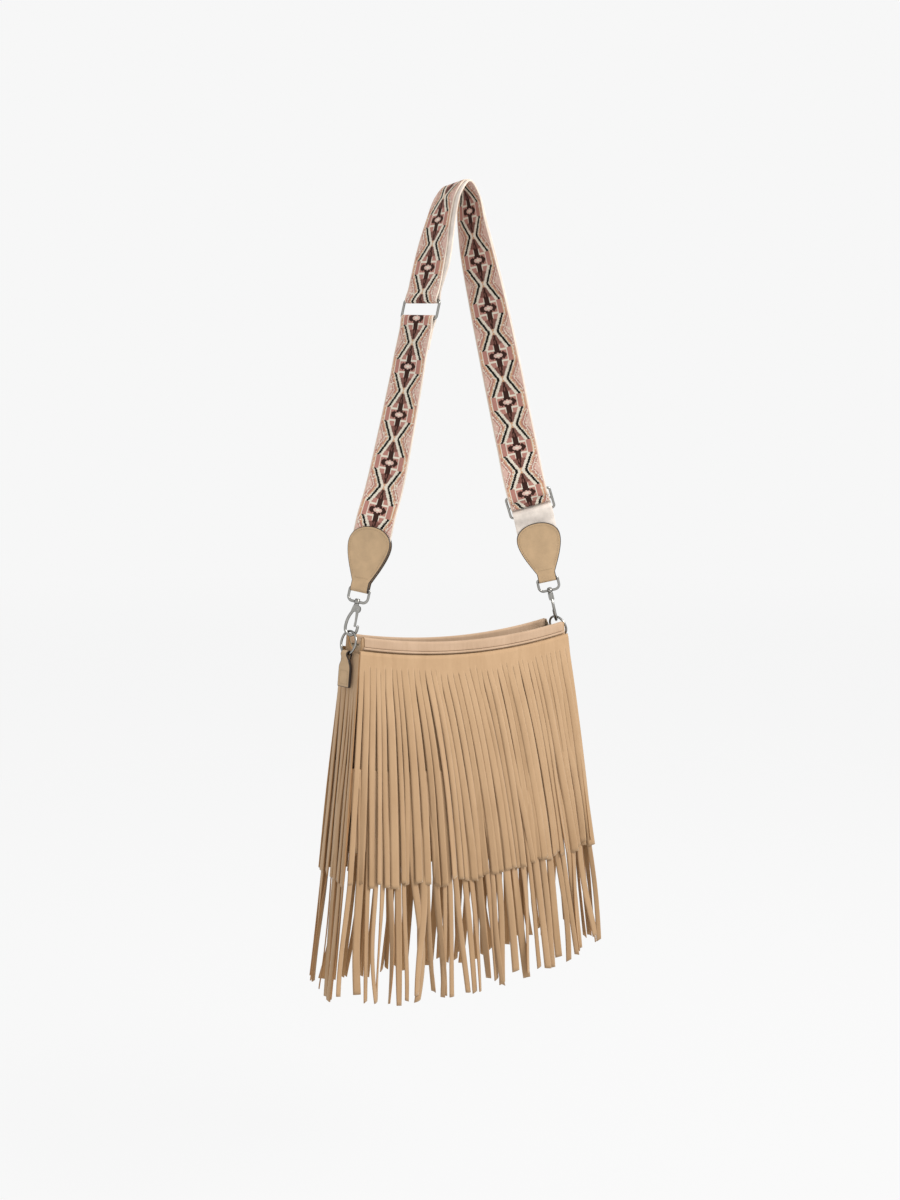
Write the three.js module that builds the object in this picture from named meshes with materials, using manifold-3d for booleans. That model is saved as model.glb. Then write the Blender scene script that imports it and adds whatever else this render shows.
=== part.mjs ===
// Fringed suede bag on a wide woven strap, hung by the strap.
// Units are millimetres. The origin is the underside of the strap where it hangs. +X is the bag's
// right end seen from the front, -Y its front and +Z is up.
import * as THREE from 'three';
import { mergeVertices } from 'three/addons/utils/BufferGeometryUtils.js';
import Module from 'manifold-3d';

const wasm = await Module();
wasm.setup();

const { PI, sin, cos } = Math;
const radians = THREE.MathUtils.degToRad;

// ---- Driving dimensions ----
const GAP = 0.3; // between pieces that touch
const RIM_Z = -524; // height of the bag's mouth at its corners
const RIM_HALF_LENGTH = 140.3; // inner face of a gusset at the mouth
const RIM_HALF_DEPTH = 19; // inner face of the front panel at the mouth
const RIM_DIP = 10; // how far the mouth sags between the rings
const BODY_DROP = 250; // mouth to base
const END_FLARE = 0.08; // how much the gussets lean out per mm of drop
const FACE_FLARE = 0.049; // the same for front and back
const FRINGE_FLARE = 0.105; // and for the ends of the fringe, which stand off the gussets
const SUEDE = 1.4;
const FRINGE_SUEDE = 1.2;
const LINING = 0.8;
const LEATHER = 1.8;

const BAND_DROP = 12; // the binding's leaves below the rim
const PIPING_RADIUS = 1.4;
const UPPER_TOP = 16.2; // where the upper fringe is sewn on, below the rim
const UPPER_ROOT = 42; // where its cuts begin
const UPPER_TIP = 284;
const LOWER_TOP = 150;
const LOWER_ROOT = 176;
const LOWER_TIP = 420;

const WEBBING_WIDTH = 50;
const WEBBING = 1.8;
const LAYER = (WEBBING + 0.4) / 2; // offset of each of two layers from the strap's middle

const RING_RADIUS = 13.5;
const RING_WIRE = 1.5;
const RING_TURN = 12; // degrees, how far the ring tabs turn off the gussets

const LOOP_BAR = 35; // swivel bar of the hook's loop, above the ring's wire
const LOOP_HEIGHT = 15.5; // between its two bars
const TAB_PIVOT = LOOP_BAR + LOOP_HEIGHT;
const TAB_LENGTH = 74;

// ---- Materials ----
const material = (colour, roughness, metalness) =>
  new THREE.MeshStandardMaterial({ color: colour, roughness, metalness });
const suede = material(0xcea67c, 0.95, 0);
const leather = material(0xc8aa82, 0.6, 0);
const lining = material(0xb9a98c, 0.85, 0);
const jacquard = material(0xb78072, 0.9, 0);
const nickel = material(0x9a9a98, 0.3, 1);
const steel = material(0x8c8c8c, 0.35, 1);

const bag = new THREE.Group();
function piece(name, geometry, look, parent = bag) {
  geometry.computeVertexNormals();
  const mesh = new THREE.Mesh(geometry, look);
  mesh.name = name;
  parent.add(mesh);
  return mesh;
}

// ---- Solids and booleans ----
function manifold(geometry) {
  const bare = geometry.clone();
  bare.deleteAttribute('normal');
  bare.deleteAttribute('uv');
  const merged = mergeVertices(bare, 1e-4);
  return new wasm.Manifold(
    new wasm.Mesh({
      numProp: 3,
      vertProperties: new Float32Array(merged.attributes.position.array),
      triVerts: new Uint32Array(merged.index.array),
    }),
  );
}

function geometryOf(solid) {
  const { vertProperties, triVerts } = solid.getMesh();
  const geometry = new THREE.BufferGeometry();
  geometry.setAttribute('position', new THREE.BufferAttribute(vertProperties, 3));
  geometry.setIndex(new THREE.BufferAttribute(triVerts, 1));
  return geometry;
}

function combine(parts, cuts = []) {
  const whole = parts.map(manifold).reduce((all, next) => all.add(next));
  return geometryOf(cuts.map(manifold).reduce((all, cut) => all.subtract(cut), whole));
}

// Moves each vertex of a geometry to where place(vertex) puts it.
function shaped(geometry, place) {
  const positions = geometry.attributes.position;
  const vertex = new THREE.Vector3();
  for (let i = 0; i < positions.count; i++) {
    vertex.fromBufferAttribute(positions, i);
    place(vertex, i);
    positions.setXYZ(i, vertex.x, vertex.y, vertex.z);
  }
  return geometry;
}

// An outline in X and Z, given thickness along Y: from y = 0 to y = -depth.
const slab = (outline, depth) =>
  new THREE.ExtrudeGeometry(outline, { depth, bevelEnabled: false, curveSegments: 10 }).rotateX(PI / 2);

// A profile in Y and Z run along X, centred on x = 0.
const alongX = (profile, length, steps = 1) =>
  new THREE.ExtrudeGeometry(profile, { depth: length, steps, bevelEnabled: false, curveSegments: 8 })
    .translate(0, 0, -length / 2)
    .rotateX(PI / 2)
    .rotateZ(PI / 2);

const cylinderY = (radius, length, x, y, z, sides = 20) =>
  new THREE.CylinderGeometry(radius, radius, length, sides).translate(x, y, z);

const cylinderZ = (radius, low, high, sides = 20) =>
  new THREE.CylinderGeometry(radius, radius, high - low, sides)
    .rotateX(PI / 2)
    .translate(0, 0, (low + high) / 2);

const outlineOf = (points) => new THREE.Shape(points.map(([x, z]) => new THREE.Vector2(x, z)));

// ---- The bag's walls ----
// A wall is drawn flat, x across it, z = 0 at the rim and -y outwards. It is then hung on a plane that
// stands `stand` off the middle at the rim and leans out by `flare`. The rim sags by `dip` between
// its corners, and that sag grows by `deepen` of itself for each mm of drop.
function hung(geometry, { stand, flare, dip = 0, half = () => 1, deepen = 0 }) {
  return shaped(geometry, (v) => {
    const drop = -v.z;
    const across = Math.min(1, Math.abs(v.x) / half(drop));
    v.z = RIM_Z - drop - dip * (1 - across * across) * (1 + deepen * drop);
    v.y -= stand + flare * (RIM_Z - v.z);
  });
}

const faceHalf = (drop) => RIM_HALF_LENGTH + SUEDE + END_FLARE * drop;
const FACE = {
  stand: RIM_HALF_DEPTH,
  flare: FACE_FLARE,
  dip: RIM_DIP,
  half: faceHalf,
  deepen: -1 / BODY_DROP,
};
const TRIM = { ...FACE, deepen: 0 };
const END = { stand: RIM_HALF_LENGTH, flare: END_FLARE };
const EDGE_STEPS = 12;

// A top edge in steps, so that it can follow the rim; `scoop` cuts it down between the corners.
function topEdge(half, top, scoop = 0) {
  return Array.from({ length: EDGE_STEPS + 1 }, (_, i) => {
    const across = (2 * i) / EDGE_STEPS - 1;
    return [across * half, -top - scoop * (1 - across * across)];
  });
}

function wall(half, thickness, offset, scoop = 0) {
  const points = topEdge(half(0), 0, scoop);
  points.push([half(BODY_DROP), -BODY_DROP], [-half(BODY_DROP), -BODY_DROP]);
  return slab(outlineOf(points), thickness).translate(0, -offset, 0);
}

const quarterTurns = { front: 0, right: 1, back: 2, left: 3 };
function onSide(side, name, geometry, look) {
  piece(name, geometry, look).rotation.z = (quarterTurns[side] * PI) / 2;
}

const GUSSET_SCOOP = 16;
const gussetHalf = (drop) => RIM_HALF_DEPTH - GAP + FACE_FLARE * drop;
const faceLiningHalf = (drop) => RIM_HALF_LENGTH - GAP + END_FLARE * drop;
const endLiningHalf = (drop) => gussetHalf(drop) - LINING - 2 * GAP;
const faceLining = { ...FACE, half: faceLiningHalf };
for (const side of ['front', 'back']) {
  onSide(side, `${side}_panel`, hung(wall(faceHalf, SUEDE, 0), FACE), suede);
  onSide(side, `${side}_lining`, hung(wall(faceLiningHalf, LINING, -LINING - GAP), faceLining), lining);
}
for (const side of ['left', 'right']) {
  const outer = wall(gussetHalf, SUEDE, 0, GUSSET_SCOOP);
  const inner = wall(endLiningHalf, LINING, -LINING - GAP, GUSSET_SCOOP);
  onSide(side, `${side}_gusset`, hung(outer, END), suede);
  onSide(side, `${side}_lining`, hung(inner, END), lining);
}

const BASE_THICKNESS = 2.4;
const BASE_Z = RIM_Z - BODY_DROP - GAP;
const baseHalfLength = faceHalf(BODY_DROP) - SUEDE;
const baseHalfDepth = RIM_HALF_DEPTH + FACE_FLARE * BODY_DROP;
const base = new THREE.BoxGeometry(2 * baseHalfLength, 2 * baseHalfDepth, BASE_THICKNESS);
piece('base_panel', base.translate(0, 0, BASE_Z - BASE_THICKNESS / 2), suede);
const baseLiningSize = [2 * (baseHalfLength - 3), 2 * (baseHalfDepth - 3), LINING];
const baseLining = new THREE.BoxGeometry(...baseLiningSize);
piece('base_lining', baseLining.translate(0, 0, BASE_Z + 1.5 + LINING / 2), lining);

// The binding: one strip folded over the rim's panel and lining.
function bindingProfile() {
  const inner = LINING + 2 * GAP;
  const outer = SUEDE + GAP;
  return outlineOf([
    [inner, -BAND_DROP],
    [inner, GAP],
    [-outer, GAP],
    [-outer, -BAND_DROP],
    [-outer - FRINGE_SUEDE, -BAND_DROP],
    [-outer - FRINGE_SUEDE, GAP + FRINGE_SUEDE],
    [inner + FRINGE_SUEDE, GAP + FRINGE_SUEDE],
    [inner + FRINGE_SUEDE, -BAND_DROP],
  ]);
}
const bandLength = 2 * (RIM_HALF_LENGTH - LINING - 2 * GAP);
const pipingLength = 2 * RIM_HALF_LENGTH;
for (const side of ['front', 'back']) {
  const band = alongX(bindingProfile(), bandLength, EDGE_STEPS);
  onSide(side, `${side}_binding`, hung(band, TRIM), suede);
  const cord = new THREE.CylinderGeometry(PIPING_RADIUS, PIPING_RADIUS, pipingLength, 8, EDGE_STEPS);
  cord.rotateZ(PI / 2);
  cord.translate(0, -SUEDE - GAP - PIPING_RADIUS, -BAND_DROP - GAP - PIPING_RADIUS);
  onSide(side, `${side}_piping`, hung(cord, TRIM), suede);
}

// ---- Fringe: one piece of suede for each wall and tier, cut into strips ----
function comb(half, { top, root, tip, count, strip }) {
  const points = topEdge(half(top), top);
  const rootOf = (i) => root + 7 * sin(2.4 * i) + 4 * sin(5.1 * i);
  for (let i = count - 1; i >= 0; i--) {
    const middle = (2 * i + 1) / count - 1;
    const end = tip + 3 * sin(1.7 * i) + 2 * sin(4.3 * i);
    points.push([middle * half(rootOf(i + 1)) + strip / 2, -rootOf(i + 1)]);
    points.push([middle * half(end) + strip / 2, -end]);
    points.push([middle * half(end) - strip / 2, -end]);
    points.push([middle * half(rootOf(i)) - strip / 2, -rootOf(i)]);
  }
  return slab(outlineOf(points), FRINGE_SUEDE);
}

const LOWER_OFFSET = SUEDE + GAP;
const UPPER_OFFSET = LOWER_OFFSET + FRINGE_SUEDE + GAP;
const SIDE_UPPER_TOP = GUSSET_SCOOP + 2;
const upper = { top: UPPER_TOP, root: UPPER_ROOT, tip: UPPER_TIP };
const lower = { top: LOWER_TOP, root: LOWER_ROOT, tip: LOWER_TIP };
function fringe(side, tier, offset, cut) {
  const onFace = side === 'front' || side === 'back';
  const stand = onFace ? RIM_HALF_DEPTH : RIM_HALF_LENGTH;
  const across = onFace ? RIM_HALF_LENGTH : RIM_HALF_DEPTH;
  const flare = onFace ? FACE_FLARE : FRINGE_FLARE;
  const widen = onFace ? FRINGE_FLARE : FACE_FLARE;
  const half = (drop) => across + offset - GAP + widen * drop;
  const flat = comb(half, cut).translate(0, -offset, 0);
  const dip = onFace ? RIM_DIP : 0;
  onSide(side, `${side}_${tier}_fringe`, hung(flat, { stand, flare, dip, half, deepen: 1 / UPPER_TIP }), suede);
}
for (const side of ['front', 'back']) {
  fringe(side, 'upper', UPPER_OFFSET, { ...upper, count: 40, strip: 6.8 });
  fringe(side, 'lower', LOWER_OFFSET, { ...lower, count: 34, strip: 6.4 });
}
for (const side of ['left', 'right']) {
  fringe(side, 'upper', UPPER_OFFSET, { ...upper, top: SIDE_UPPER_TOP, count: 6, strip: 6.8 });
  fringe(side, 'lower', LOWER_OFFSET, { ...lower, count: 6, strip: 6.4 });
}

// ---- Magnetic snap inside the mouth ----
const SNAP_DROP = 26;
const snapDisc = (radius, thickness, offset) =>
  cylinderY(radius, thickness, 0, offset - thickness / 2, -SNAP_DROP, 24);
const snapWall = LINING + 2 * GAP;
const socket = combine(
  [snapDisc(9, 2.4, snapWall + 2.4)],
  [snapDisc(3.6, 1.8, snapWall + 3)],
);
onSide('back', 'snap_socket', hung(socket, FACE), nickel);
const stud = combine([snapDisc(9, 1.4, snapWall + 1.4), snapDisc(3, 3.2, snapWall + 3.2)]);
onSide('front', 'snap_stud', hung(stud, FACE), nickel);

// ---- Ribbons: a flat strip swept along stations of middle point, width direction and half width ----
function ribbon(stations, thickness) {
  const last = stations.length - 1;
  const tangents = stations.map((_, i) => {
    const from = stations[Math.max(0, i - 1)].at;
    const to = stations[Math.min(last, i + 1)].at;
    return to.clone().sub(from).normalize();
  });
  return shaped(new THREE.BoxGeometry(1, 1, 1, 1, 1, last), (v) => {
    const i = Math.round((v.z + 0.5) * last);
    const { at, width, half } = stations[i];
    const normal = tangents[i].clone().cross(width).normalize();
    const [across, through] = [2 * v.x * half, v.y * thickness];
    v.copy(at).addScaledVector(width, across).addScaledVector(normal, through);
  });
}

// ---- Rings and the tabs that hold them on the gussets ----
const RING_TAB_HALF_WIDTH = 10;
const RING_TAB_HALF_WAIST = 5;
const RING_TAB_LENGTH = 38;
const RING_TAB_LEATHER = 1.6;
const RING_PIVOT_X = 152.6;
const RING_PIVOT_Z = RIM_Z - 20;
const TAB_FOLD = RING_WIRE + 4 * GAP + RING_TAB_LEATHER / 2;
const TAB_LEAF = (RING_TAB_LEATHER + GAP) / 2;

function ringTab() {
  const lean = Math.atan(FRINGE_FLARE);
  const width = new THREE.Vector3(0, 1, 0);
  const station = (out, up) => {
    const at = new THREE.Vector3(out, 0, up).applyAxisAngle(width, up < 0 ? -lean * Math.min(1, -up / 8) : 0);
    const spread = THREE.MathUtils.smoothstep(-up, 3, 16);
    return { at, width, half: THREE.MathUtils.lerp(RING_TAB_HALF_WAIST, RING_TAB_HALF_WIDTH, spread) };
  };
  const drops = [RING_TAB_LENGTH, 22, 17, 13, 9, 6];
  const stations = drops.map((drop) => station(-TAB_LEAF, -drop));
  for (let i = 0; i <= 12; i++) {
    const angle = radians(205 - (230 * i) / 12);
    stations.push(station(TAB_FOLD * cos(angle), TAB_FOLD * sin(angle)));
  }
  stations.push(...drops.reverse().map((drop) => station(TAB_LEAF, -drop)));
  return ribbon(stations, RING_TAB_LEATHER);
}

const ringShape = () =>
  new THREE.TorusGeometry(RING_RADIUS, RING_WIRE, 8, 32).rotateY(PI / 2).translate(0, 0, RING_RADIUS);

// How each side's ring, hook and end tab hang, in degrees: the ring's lean and the chain's lean
// towards the bag's middle, and the turns of end tab and hook about the chain.
const chains = {
  left: { sign: -1, ringLean: 14, lean: 14.5, tabTurn: -54, hookTurn: -40 },
  right: { sign: 1, ringLean: 22, lean: 15, tabTurn: -33, hookTurn: 62 },
};
const rings = {};
for (const side of ['right', 'left']) {
  const { sign, ringLean } = chains[side];
  const aside = 2 * RING_RADIUS * sin(radians(ringLean)) * sin(radians(RING_TURN));
  const holder = new THREE.Group();
  holder.position.set(sign * RING_PIVOT_X, sign * aside, RING_PIVOT_Z);
  holder.rotation.z = radians(RING_TURN) + (side === 'left' ? PI : 0);
  bag.add(holder);
  piece(`${side}_ring_tab`, ringTab(), leather, holder);
  rings[side] = piece(`${side}_ring`, ringShape(), nickel, holder);
  rings[side].rotation.y = -radians(ringLean);
}
bag.updateMatrixWorld(true);
const ringTop = (side) => rings[side].localToWorld(new THREE.Vector3(0, 0, 2 * RING_RADIUS));

// ---- Snap hooks ----
const HOOK_WIRE = 1.8;
const BOWL_SLACK = 1.2;
const BOWL_LOW = -(RING_WIRE + BOWL_SLACK + HOOK_WIRE);
const GATE_PIN = { x: 2.6, z: 26.5, radius: 0.85 };

function hookWire() {
  const path = new THREE.CatmullRomCurve3(
    [
      [-2, 25],
      [-5.6, 17],
      [-7.3, 7.5],
      [-6, -0.8],
      [0, BOWL_LOW],
      [6, -0.8],
      [7.3, 8.2],
    ].map(([x, z]) => new THREE.Vector3(x, 0, z)),
  );
  const section = new THREE.Shape().absarc(0, 0, HOOK_WIRE, 0, 2 * PI);
  return new THREE.ExtrudeGeometry(section, { steps: 24, extrudePath: path, curveSegments: 4 });
}

function hookBody() {
  const head = outlineOf([
    [-4.4, 23],
    [-2.6, 31],
    [3.4, 31],
    [6, 28],
    [6, 24.5],
    [4, 22.6],
  ]);
  const neck = cylinderZ(2.8, 30.5, LOOP_BAR - 2);
  const stem = cylinderZ(1.7, 30.5, LOOP_BAR + 3.6);
  const cap = cylinderZ(3, LOOP_BAR + 2, LOOP_BAR + 3.6);
  const slot = new THREE.BoxGeometry(9, 3, 9).translate(GATE_PIN.x + 1, 0, GATE_PIN.z - 1.2);
  const pinHole = cylinderY(GATE_PIN.radius + GAP, 10, GATE_PIN.x, 0, GATE_PIN.z, 16);
  return combine([hookWire(), slab(head, 6.4).translate(0, 3.2, 0), neck, stem, cap], [slot, pinHole]);
}

const GATE_TIP = { x: 3.5, z: 6.2 };
function hookGate() {
  const eye = cylinderY(2.7, 2.4, GATE_PIN.x, 0, GATE_PIN.z);
  const bar = outlineOf([
    [GATE_PIN.x - 1.6, GATE_PIN.z],
    [GATE_TIP.x - 1.1, GATE_TIP.z],
    [GATE_TIP.x + 1.1, GATE_TIP.z],
    [GATE_PIN.x + 1.6, GATE_PIN.z],
  ]);
  const bore = cylinderY(GATE_PIN.radius + GAP, 4, GATE_PIN.x, 0, GATE_PIN.z, 16);
  const springSeat = cylinderY(2.2, 1.4, GATE_PIN.x, 0.7, GATE_PIN.z);
  return combine([eye, slab(bar, 2.4).translate(0, 1.2, 0)], [bore, springSeat]);
}

// The torsion spring round the pin, as the closed ring that its tight turns fill.
function gateSpring() {
  const profile = [
    [1.15, 0.2],
    [1.85, 0.2],
    [1.85, 1.1],
    [1.15, 1.1],
    [1.15, 0.2],
  ].map(([radius, y]) => new THREE.Vector2(radius, y));
  return new THREE.LatheGeometry(profile, 20).translate(GATE_PIN.x, 0, GATE_PIN.z);
}

function loopOutline(inset) {
  const [half, low, high] = [14.6 - inset, -1.6 + inset, LOOP_HEIGHT + 1.6 - inset];
  const [lowRound, highRound] = [7.5 - inset, 3.6 - inset];
  const outline = new THREE.Shape();
  outline.moveTo(-half + lowRound, low);
  outline.absarc(half - lowRound, low + lowRound, lowRound, -PI / 2, 0);
  outline.absarc(half - highRound, high - highRound, highRound, 0, PI / 2);
  outline.absarc(-half + highRound, high - highRound, highRound, PI / 2, PI);
  outline.absarc(-half + lowRound, low + lowRound, lowRound, PI, 1.5 * PI);
  return outline;
}

// A flat metal frame with its edges broken, from z = 0 upwards, in the XZ plane.
function frameOf(outline, holes, depth, bevel) {
  outline.holes.push(...holes);
  const options = { depth: depth - 2 * bevel, bevelThickness: bevel, bevelSize: bevel, bevelOffset: -bevel };
  const frame = new THREE.ExtrudeGeometry(outline, { ...options, bevelSegments: 1, curveSegments: 5 });
  return frame.translate(0, 0, bevel - depth / 2).rotateX(PI / 2);
}

function hookLoop() {
  const frame = frameOf(loopOutline(0), [loopOutline(3.2)], 2.4, 0.7).translate(0, 0, LOOP_BAR);
  const boss = cylinderZ(3.6, LOOP_BAR - 1.6, LOOP_BAR + 1.6);
  return combine([frame, boss], [cylinderZ(1.7 + GAP, LOOP_BAR - 3, LOOP_BAR + 3)]);
}

// ---- Leather end tabs, each one piece folded round its hook's loop ----
const TAB_INNER = 1.5;
const TAB_DROP = 0.7; // the fold's middle below the loop's bar, which is taller than it is thick
const TAB_HALF_NECK = 11;
const TAB_HALF_WIDTH = 27;

function tabLeaf() {
  const outline = new THREE.Shape();
  outline.moveTo(-TAB_HALF_NECK, 0);
  outline.lineTo(-TAB_HALF_NECK, 9);
  outline.bezierCurveTo(-13.5, 15, -TAB_HALF_WIDTH, 38, -TAB_HALF_WIDTH, 53);
  outline.bezierCurveTo(-TAB_HALF_WIDTH, 66, -15.5, TAB_LENGTH, 0, TAB_LENGTH);
  outline.bezierCurveTo(15.5, TAB_LENGTH, TAB_HALF_WIDTH, 66, TAB_HALF_WIDTH, 53);
  outline.bezierCurveTo(TAB_HALF_WIDTH, 38, 13.5, 15, TAB_HALF_NECK, 9);
  outline.lineTo(TAB_HALF_NECK, 0);
  return slab(outline, LEATHER);
}

function endTab() {
  const fold = new THREE.Shape();
  fold.moveTo(TAB_INNER, 6);
  fold.lineTo(TAB_INNER, 0);
  fold.absarc(0, 0, TAB_INNER, 0, -PI, true);
  fold.lineTo(-TAB_INNER, 6);
  fold.lineTo(-TAB_INNER - LEATHER, 6);
  fold.lineTo(-TAB_INNER - LEATHER, 0);
  fold.absarc(0, 0, TAB_INNER + LEATHER, -PI, 0, false);
  fold.lineTo(TAB_INNER + LEATHER, 6);
  const front = tabLeaf().translate(0, -TAB_INNER, 0);
  const back = tabLeaf().translate(0, TAB_INNER + LEATHER, 0);
  return combine([alongX(fold, 2 * TAB_HALF_NECK), front, back]).translate(0, 0, TAB_PIVOT - TAB_DROP);
}

// ---- The two chains of ring, hook, loop and end tab ----
for (const [side, chain] of Object.entries(chains)) {
  const line = new THREE.Group();
  line.position.copy(ringTop(side));
  line.rotation.y = -chain.sign * radians(chain.lean);
  bag.add(line);
  const hook = new THREE.Group();
  hook.rotation.z = radians(chain.hookTurn);
  line.add(hook);
  piece(`${side}_hook_body`, hookBody(), nickel, hook);
  piece(`${side}_hook_gate`, hookGate(), nickel, hook);
  const pin = cylinderY(GATE_PIN.radius, 6.2, GATE_PIN.x, 0, GATE_PIN.z, 16);
  piece(`${side}_gate_pin`, pin, steel, hook);
  piece(`${side}_gate_spring`, gateSpring(), steel, hook);
  const tab = new THREE.Group();
  tab.rotation.z = radians(chain.tabTurn);
  line.add(tab);
  piece(`${side}_hook_loop`, hookLoop(), nickel, tab);
  piece(`${side}_end_tab`, endTab(), leather, tab);
  tab.updateWorldMatrix(true, false);
  const along = new THREE.Vector3(0, 0, 1).transformDirection(tab.matrixWorld);
  const width = new THREE.Vector3(1, 0, 0).transformDirection(tab.matrixWorld);
  const flat = width.addScaledVector(along, -width.z / along.z);
  const turn = Math.atan2(flat.y, flat.x);
  chain.webbing = [TAB_LENGTH - 26, TAB_LENGTH - 13, TAB_LENGTH, TAB_LENGTH + 12].map((up) => {
    const at = tab.localToWorld(new THREE.Vector3(0, 0, TAB_PIVOT + up));
    return new THREE.Vector3(at.x, turn, at.z);
  });
}

// ---- The strap ----
// Its middle line runs from the right end tab over the top to the left one. Each point is x, z and
// how far the strap's width has turned from lying along -Y, in degrees.
const TOP_X = -3;
const turned = (degrees) => radians(degrees - 90);
const middleLine = [
  [97.5, -358, 54],
  [78, -285, 46],
  [57, -200, 40],
  [38, -125, 30],
  [25, -75, 20],
  [17, -40, 9],
  [10, -12, 2],
  [TOP_X, LAYER + WEBBING / 2, 0],
  [-17, -12, 1],
  [-27, -40, 6],
  [-37, -80, 16],
  [-50, -135, 19],
  [-68, -210, 22],
  [-86, -290, 29],
  [-102, -355, 35],
];
const spine = new THREE.CatmullRomCurve3([
  ...chains.right.webbing,
  ...middleLine.map(([x, z, degrees]) => new THREE.Vector3(x, turned(degrees), z)),
  ...chains.left.webbing.reverse(),
]);
const SPINE_LENGTH = spine.getLength();

// A point of the strap `run` mm from its right end, `out` mm off the middle line to its outer side.
function onStrap(run, out = 0, aside = 0) {
  const here = spine.getPointAt(run / SPINE_LENGTH);
  const [from, to] = [run - 1, run + 1].map((at) =>
    spine.getPointAt(THREE.MathUtils.clamp(at / SPINE_LENGTH, 0, 1)),
  );
  const along = new THREE.Vector3(to.x - from.x, 0, to.z - from.z).normalize();
  const flat = new THREE.Vector3(cos(here.y), sin(here.y), 0);
  const width = flat.addScaledVector(along, -flat.dot(along)).normalize();
  const normal = along.clone().cross(width);
  const at = new THREE.Vector3(here.x, 0, here.z).addScaledVector(normal, out).addScaledVector(width, aside);
  return { at, width, half: WEBBING_WIDTH / 2, along, normal };
}

const level = () => 0;
const FINE = 2.4; // pitch where the webbing bends round a bar

// Stations from one run to another, `pitch` mm apart, with the offset given as a function of the run.
function strapRun(from, to, out, aside = level, pitch = 12) {
  const count = Math.ceil(Math.abs(to - from) / pitch);
  return Array.from({ length: count + 1 }, (_, i) => {
    const run = from + ((to - from) * i) / count;
    return onStrap(run, out(run), aside(run));
  });
}

// Half a turn round a bar, starting on the outer side and ending on the inner one, or the reverse.
function wrap(run, radius, towards, startOuter) {
  const bar = onStrap(run);
  return Array.from({ length: 7 }, (_, i) => {
    const angle = (PI * (i + 0.5)) / 7;
    const out = radius * cos(angle) * (startOuter ? 1 : -1);
    const at = bar.at.clone().addScaledVector(bar.normal, out);
    at.addScaledVector(bar.along, towards * radius * sin(angle));
    return { at, width: bar.width, half: WEBBING_WIDTH / 2 };
  });
}

// Straight steps between [run, offset] pairs.
function stepped(pairs) {
  return (run) => {
    const next = pairs.findIndex(([at]) => at >= run);
    if (next <= 0) return pairs[next === 0 ? 0 : pairs.length - 1][1];
    const [[a, low], [b, high]] = [pairs[next - 1], pairs[next]];
    const part = (run - a) / (b - a);
    return low + (high - low) * part * part * (3 - 2 * part);
  };
}

const BAR = 1.6; // half the thickness of the rectangular ring's bars
const WRAP = BAR + 1.7 * GAP + WEBBING / 2;
const PLY = WEBBING + 0.4;
const SLIDER = 52; // the slider's middle bar, from the webbing's right end
const SLIDER_PITCH = 13;
const SLIDER_BAR = 1.2; // half the thickness of the slider's bars
const SHORT_RUN = 286; // from the rectangular ring's middle to the webbing's left end
const RING_RUN = SPINE_LENGTH - SHORT_RUN;
const RING_PITCH = 10.8; // from its middle to each bar

// Up from the right tab, woven through the slider, over the top, round the ring, back over the top
// underneath itself, and round the slider's middle bar, where it is sewn to itself.
const first = SLIDER - SLIDER_PITCH;
const third = SLIDER + SLIDER_PITCH;
const HOLD = 2.2; // how far each side of a bar the webbing lies flat on it
const outward = stepped([
  [0, 0],
  [first - 14, 0],
  [first - HOLD, -WRAP],
  [first + HOLD, -WRAP],
  [SLIDER - HOLD, WRAP + PLY],
  [SLIDER + HOLD, WRAP + PLY],
  [third - HOLD, -WRAP],
  [third + HOLD, -WRAP],
  [third + 50, LAYER],
  [RING_RUN - RING_PITCH - 14, LAYER],
  [RING_RUN - RING_PITCH, WRAP],
]);
const inward = stepped([
  [SLIDER + HOLD, -WRAP],
  [third - HOLD, -WRAP - 2 * PLY],
  [third + 20, -WRAP - 2 * PLY + 1],
  [third + 60, -LAYER],
  [RING_RUN - RING_PITCH - 14, -LAYER],
  [RING_RUN - RING_PITCH, -WRAP],
]);
const tail = stepped([
  [SLIDER + HOLD, WRAP],
  [third - HOLD, -WRAP - PLY],
  [third + 20, -WRAP - PLY + 0.8],
]);
// The under layer lies a little towards the front on the left run.
const aside = stepped([
  [SPINE_LENGTH / 2 - 60, 0],
  [SPINE_LENGTH / 2 + 20, 7],
  [RING_RUN - 60, 6],
  [RING_RUN - RING_PITCH - 4, 0],
]);
const longWebbing = [
  ...strapRun(0, third + 4, outward, level, FINE),
  ...strapRun(third + 10, RING_RUN - RING_PITCH, outward),
  ...wrap(RING_RUN - RING_PITCH, WRAP, 1, true),
  ...strapRun(RING_RUN - RING_PITCH, third + 30, inward, aside),
  ...strapRun(third + 24, SLIDER, inward, level, FINE),
  ...wrap(SLIDER, WRAP, -1, false),
  ...strapRun(SLIDER, third + 16, tail, level, FINE),
];
piece('long_webbing', ribbon(longWebbing, WEBBING), jacquard);

// The short webbing, from the left tab up round the ring's lower bar, with a sewn tail behind.
const lowerBar = RING_RUN + RING_PITCH;
const shortOut = stepped([
  [lowerBar, WRAP],
  [lowerBar + 14, LAYER],
  [lowerBar + 44, LAYER],
  [lowerBar + 70, 0],
]);
const shortTail = stepped([
  [lowerBar, -WRAP],
  [lowerBar + 14, -LAYER],
]);
const shortWebbing = [
  ...strapRun(SPINE_LENGTH, lowerBar, shortOut),
  ...wrap(lowerBar, WRAP, -1, true),
  ...strapRun(lowerBar, lowerBar + 36, shortTail),
];
piece('short_webbing', ribbon(shortWebbing, WEBBING), jacquard);

// The metal on the strap lies in the strap's plane: its width along X, its length along Z.
function onStrapMesh(name, geometry, run) {
  const { at, width, along, normal } = onStrap(run);
  const mesh = piece(name, geometry, nickel);
  mesh.position.copy(at);
  mesh.quaternion.setFromRotationMatrix(new THREE.Matrix4().makeBasis(width, normal, along));
}

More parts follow.
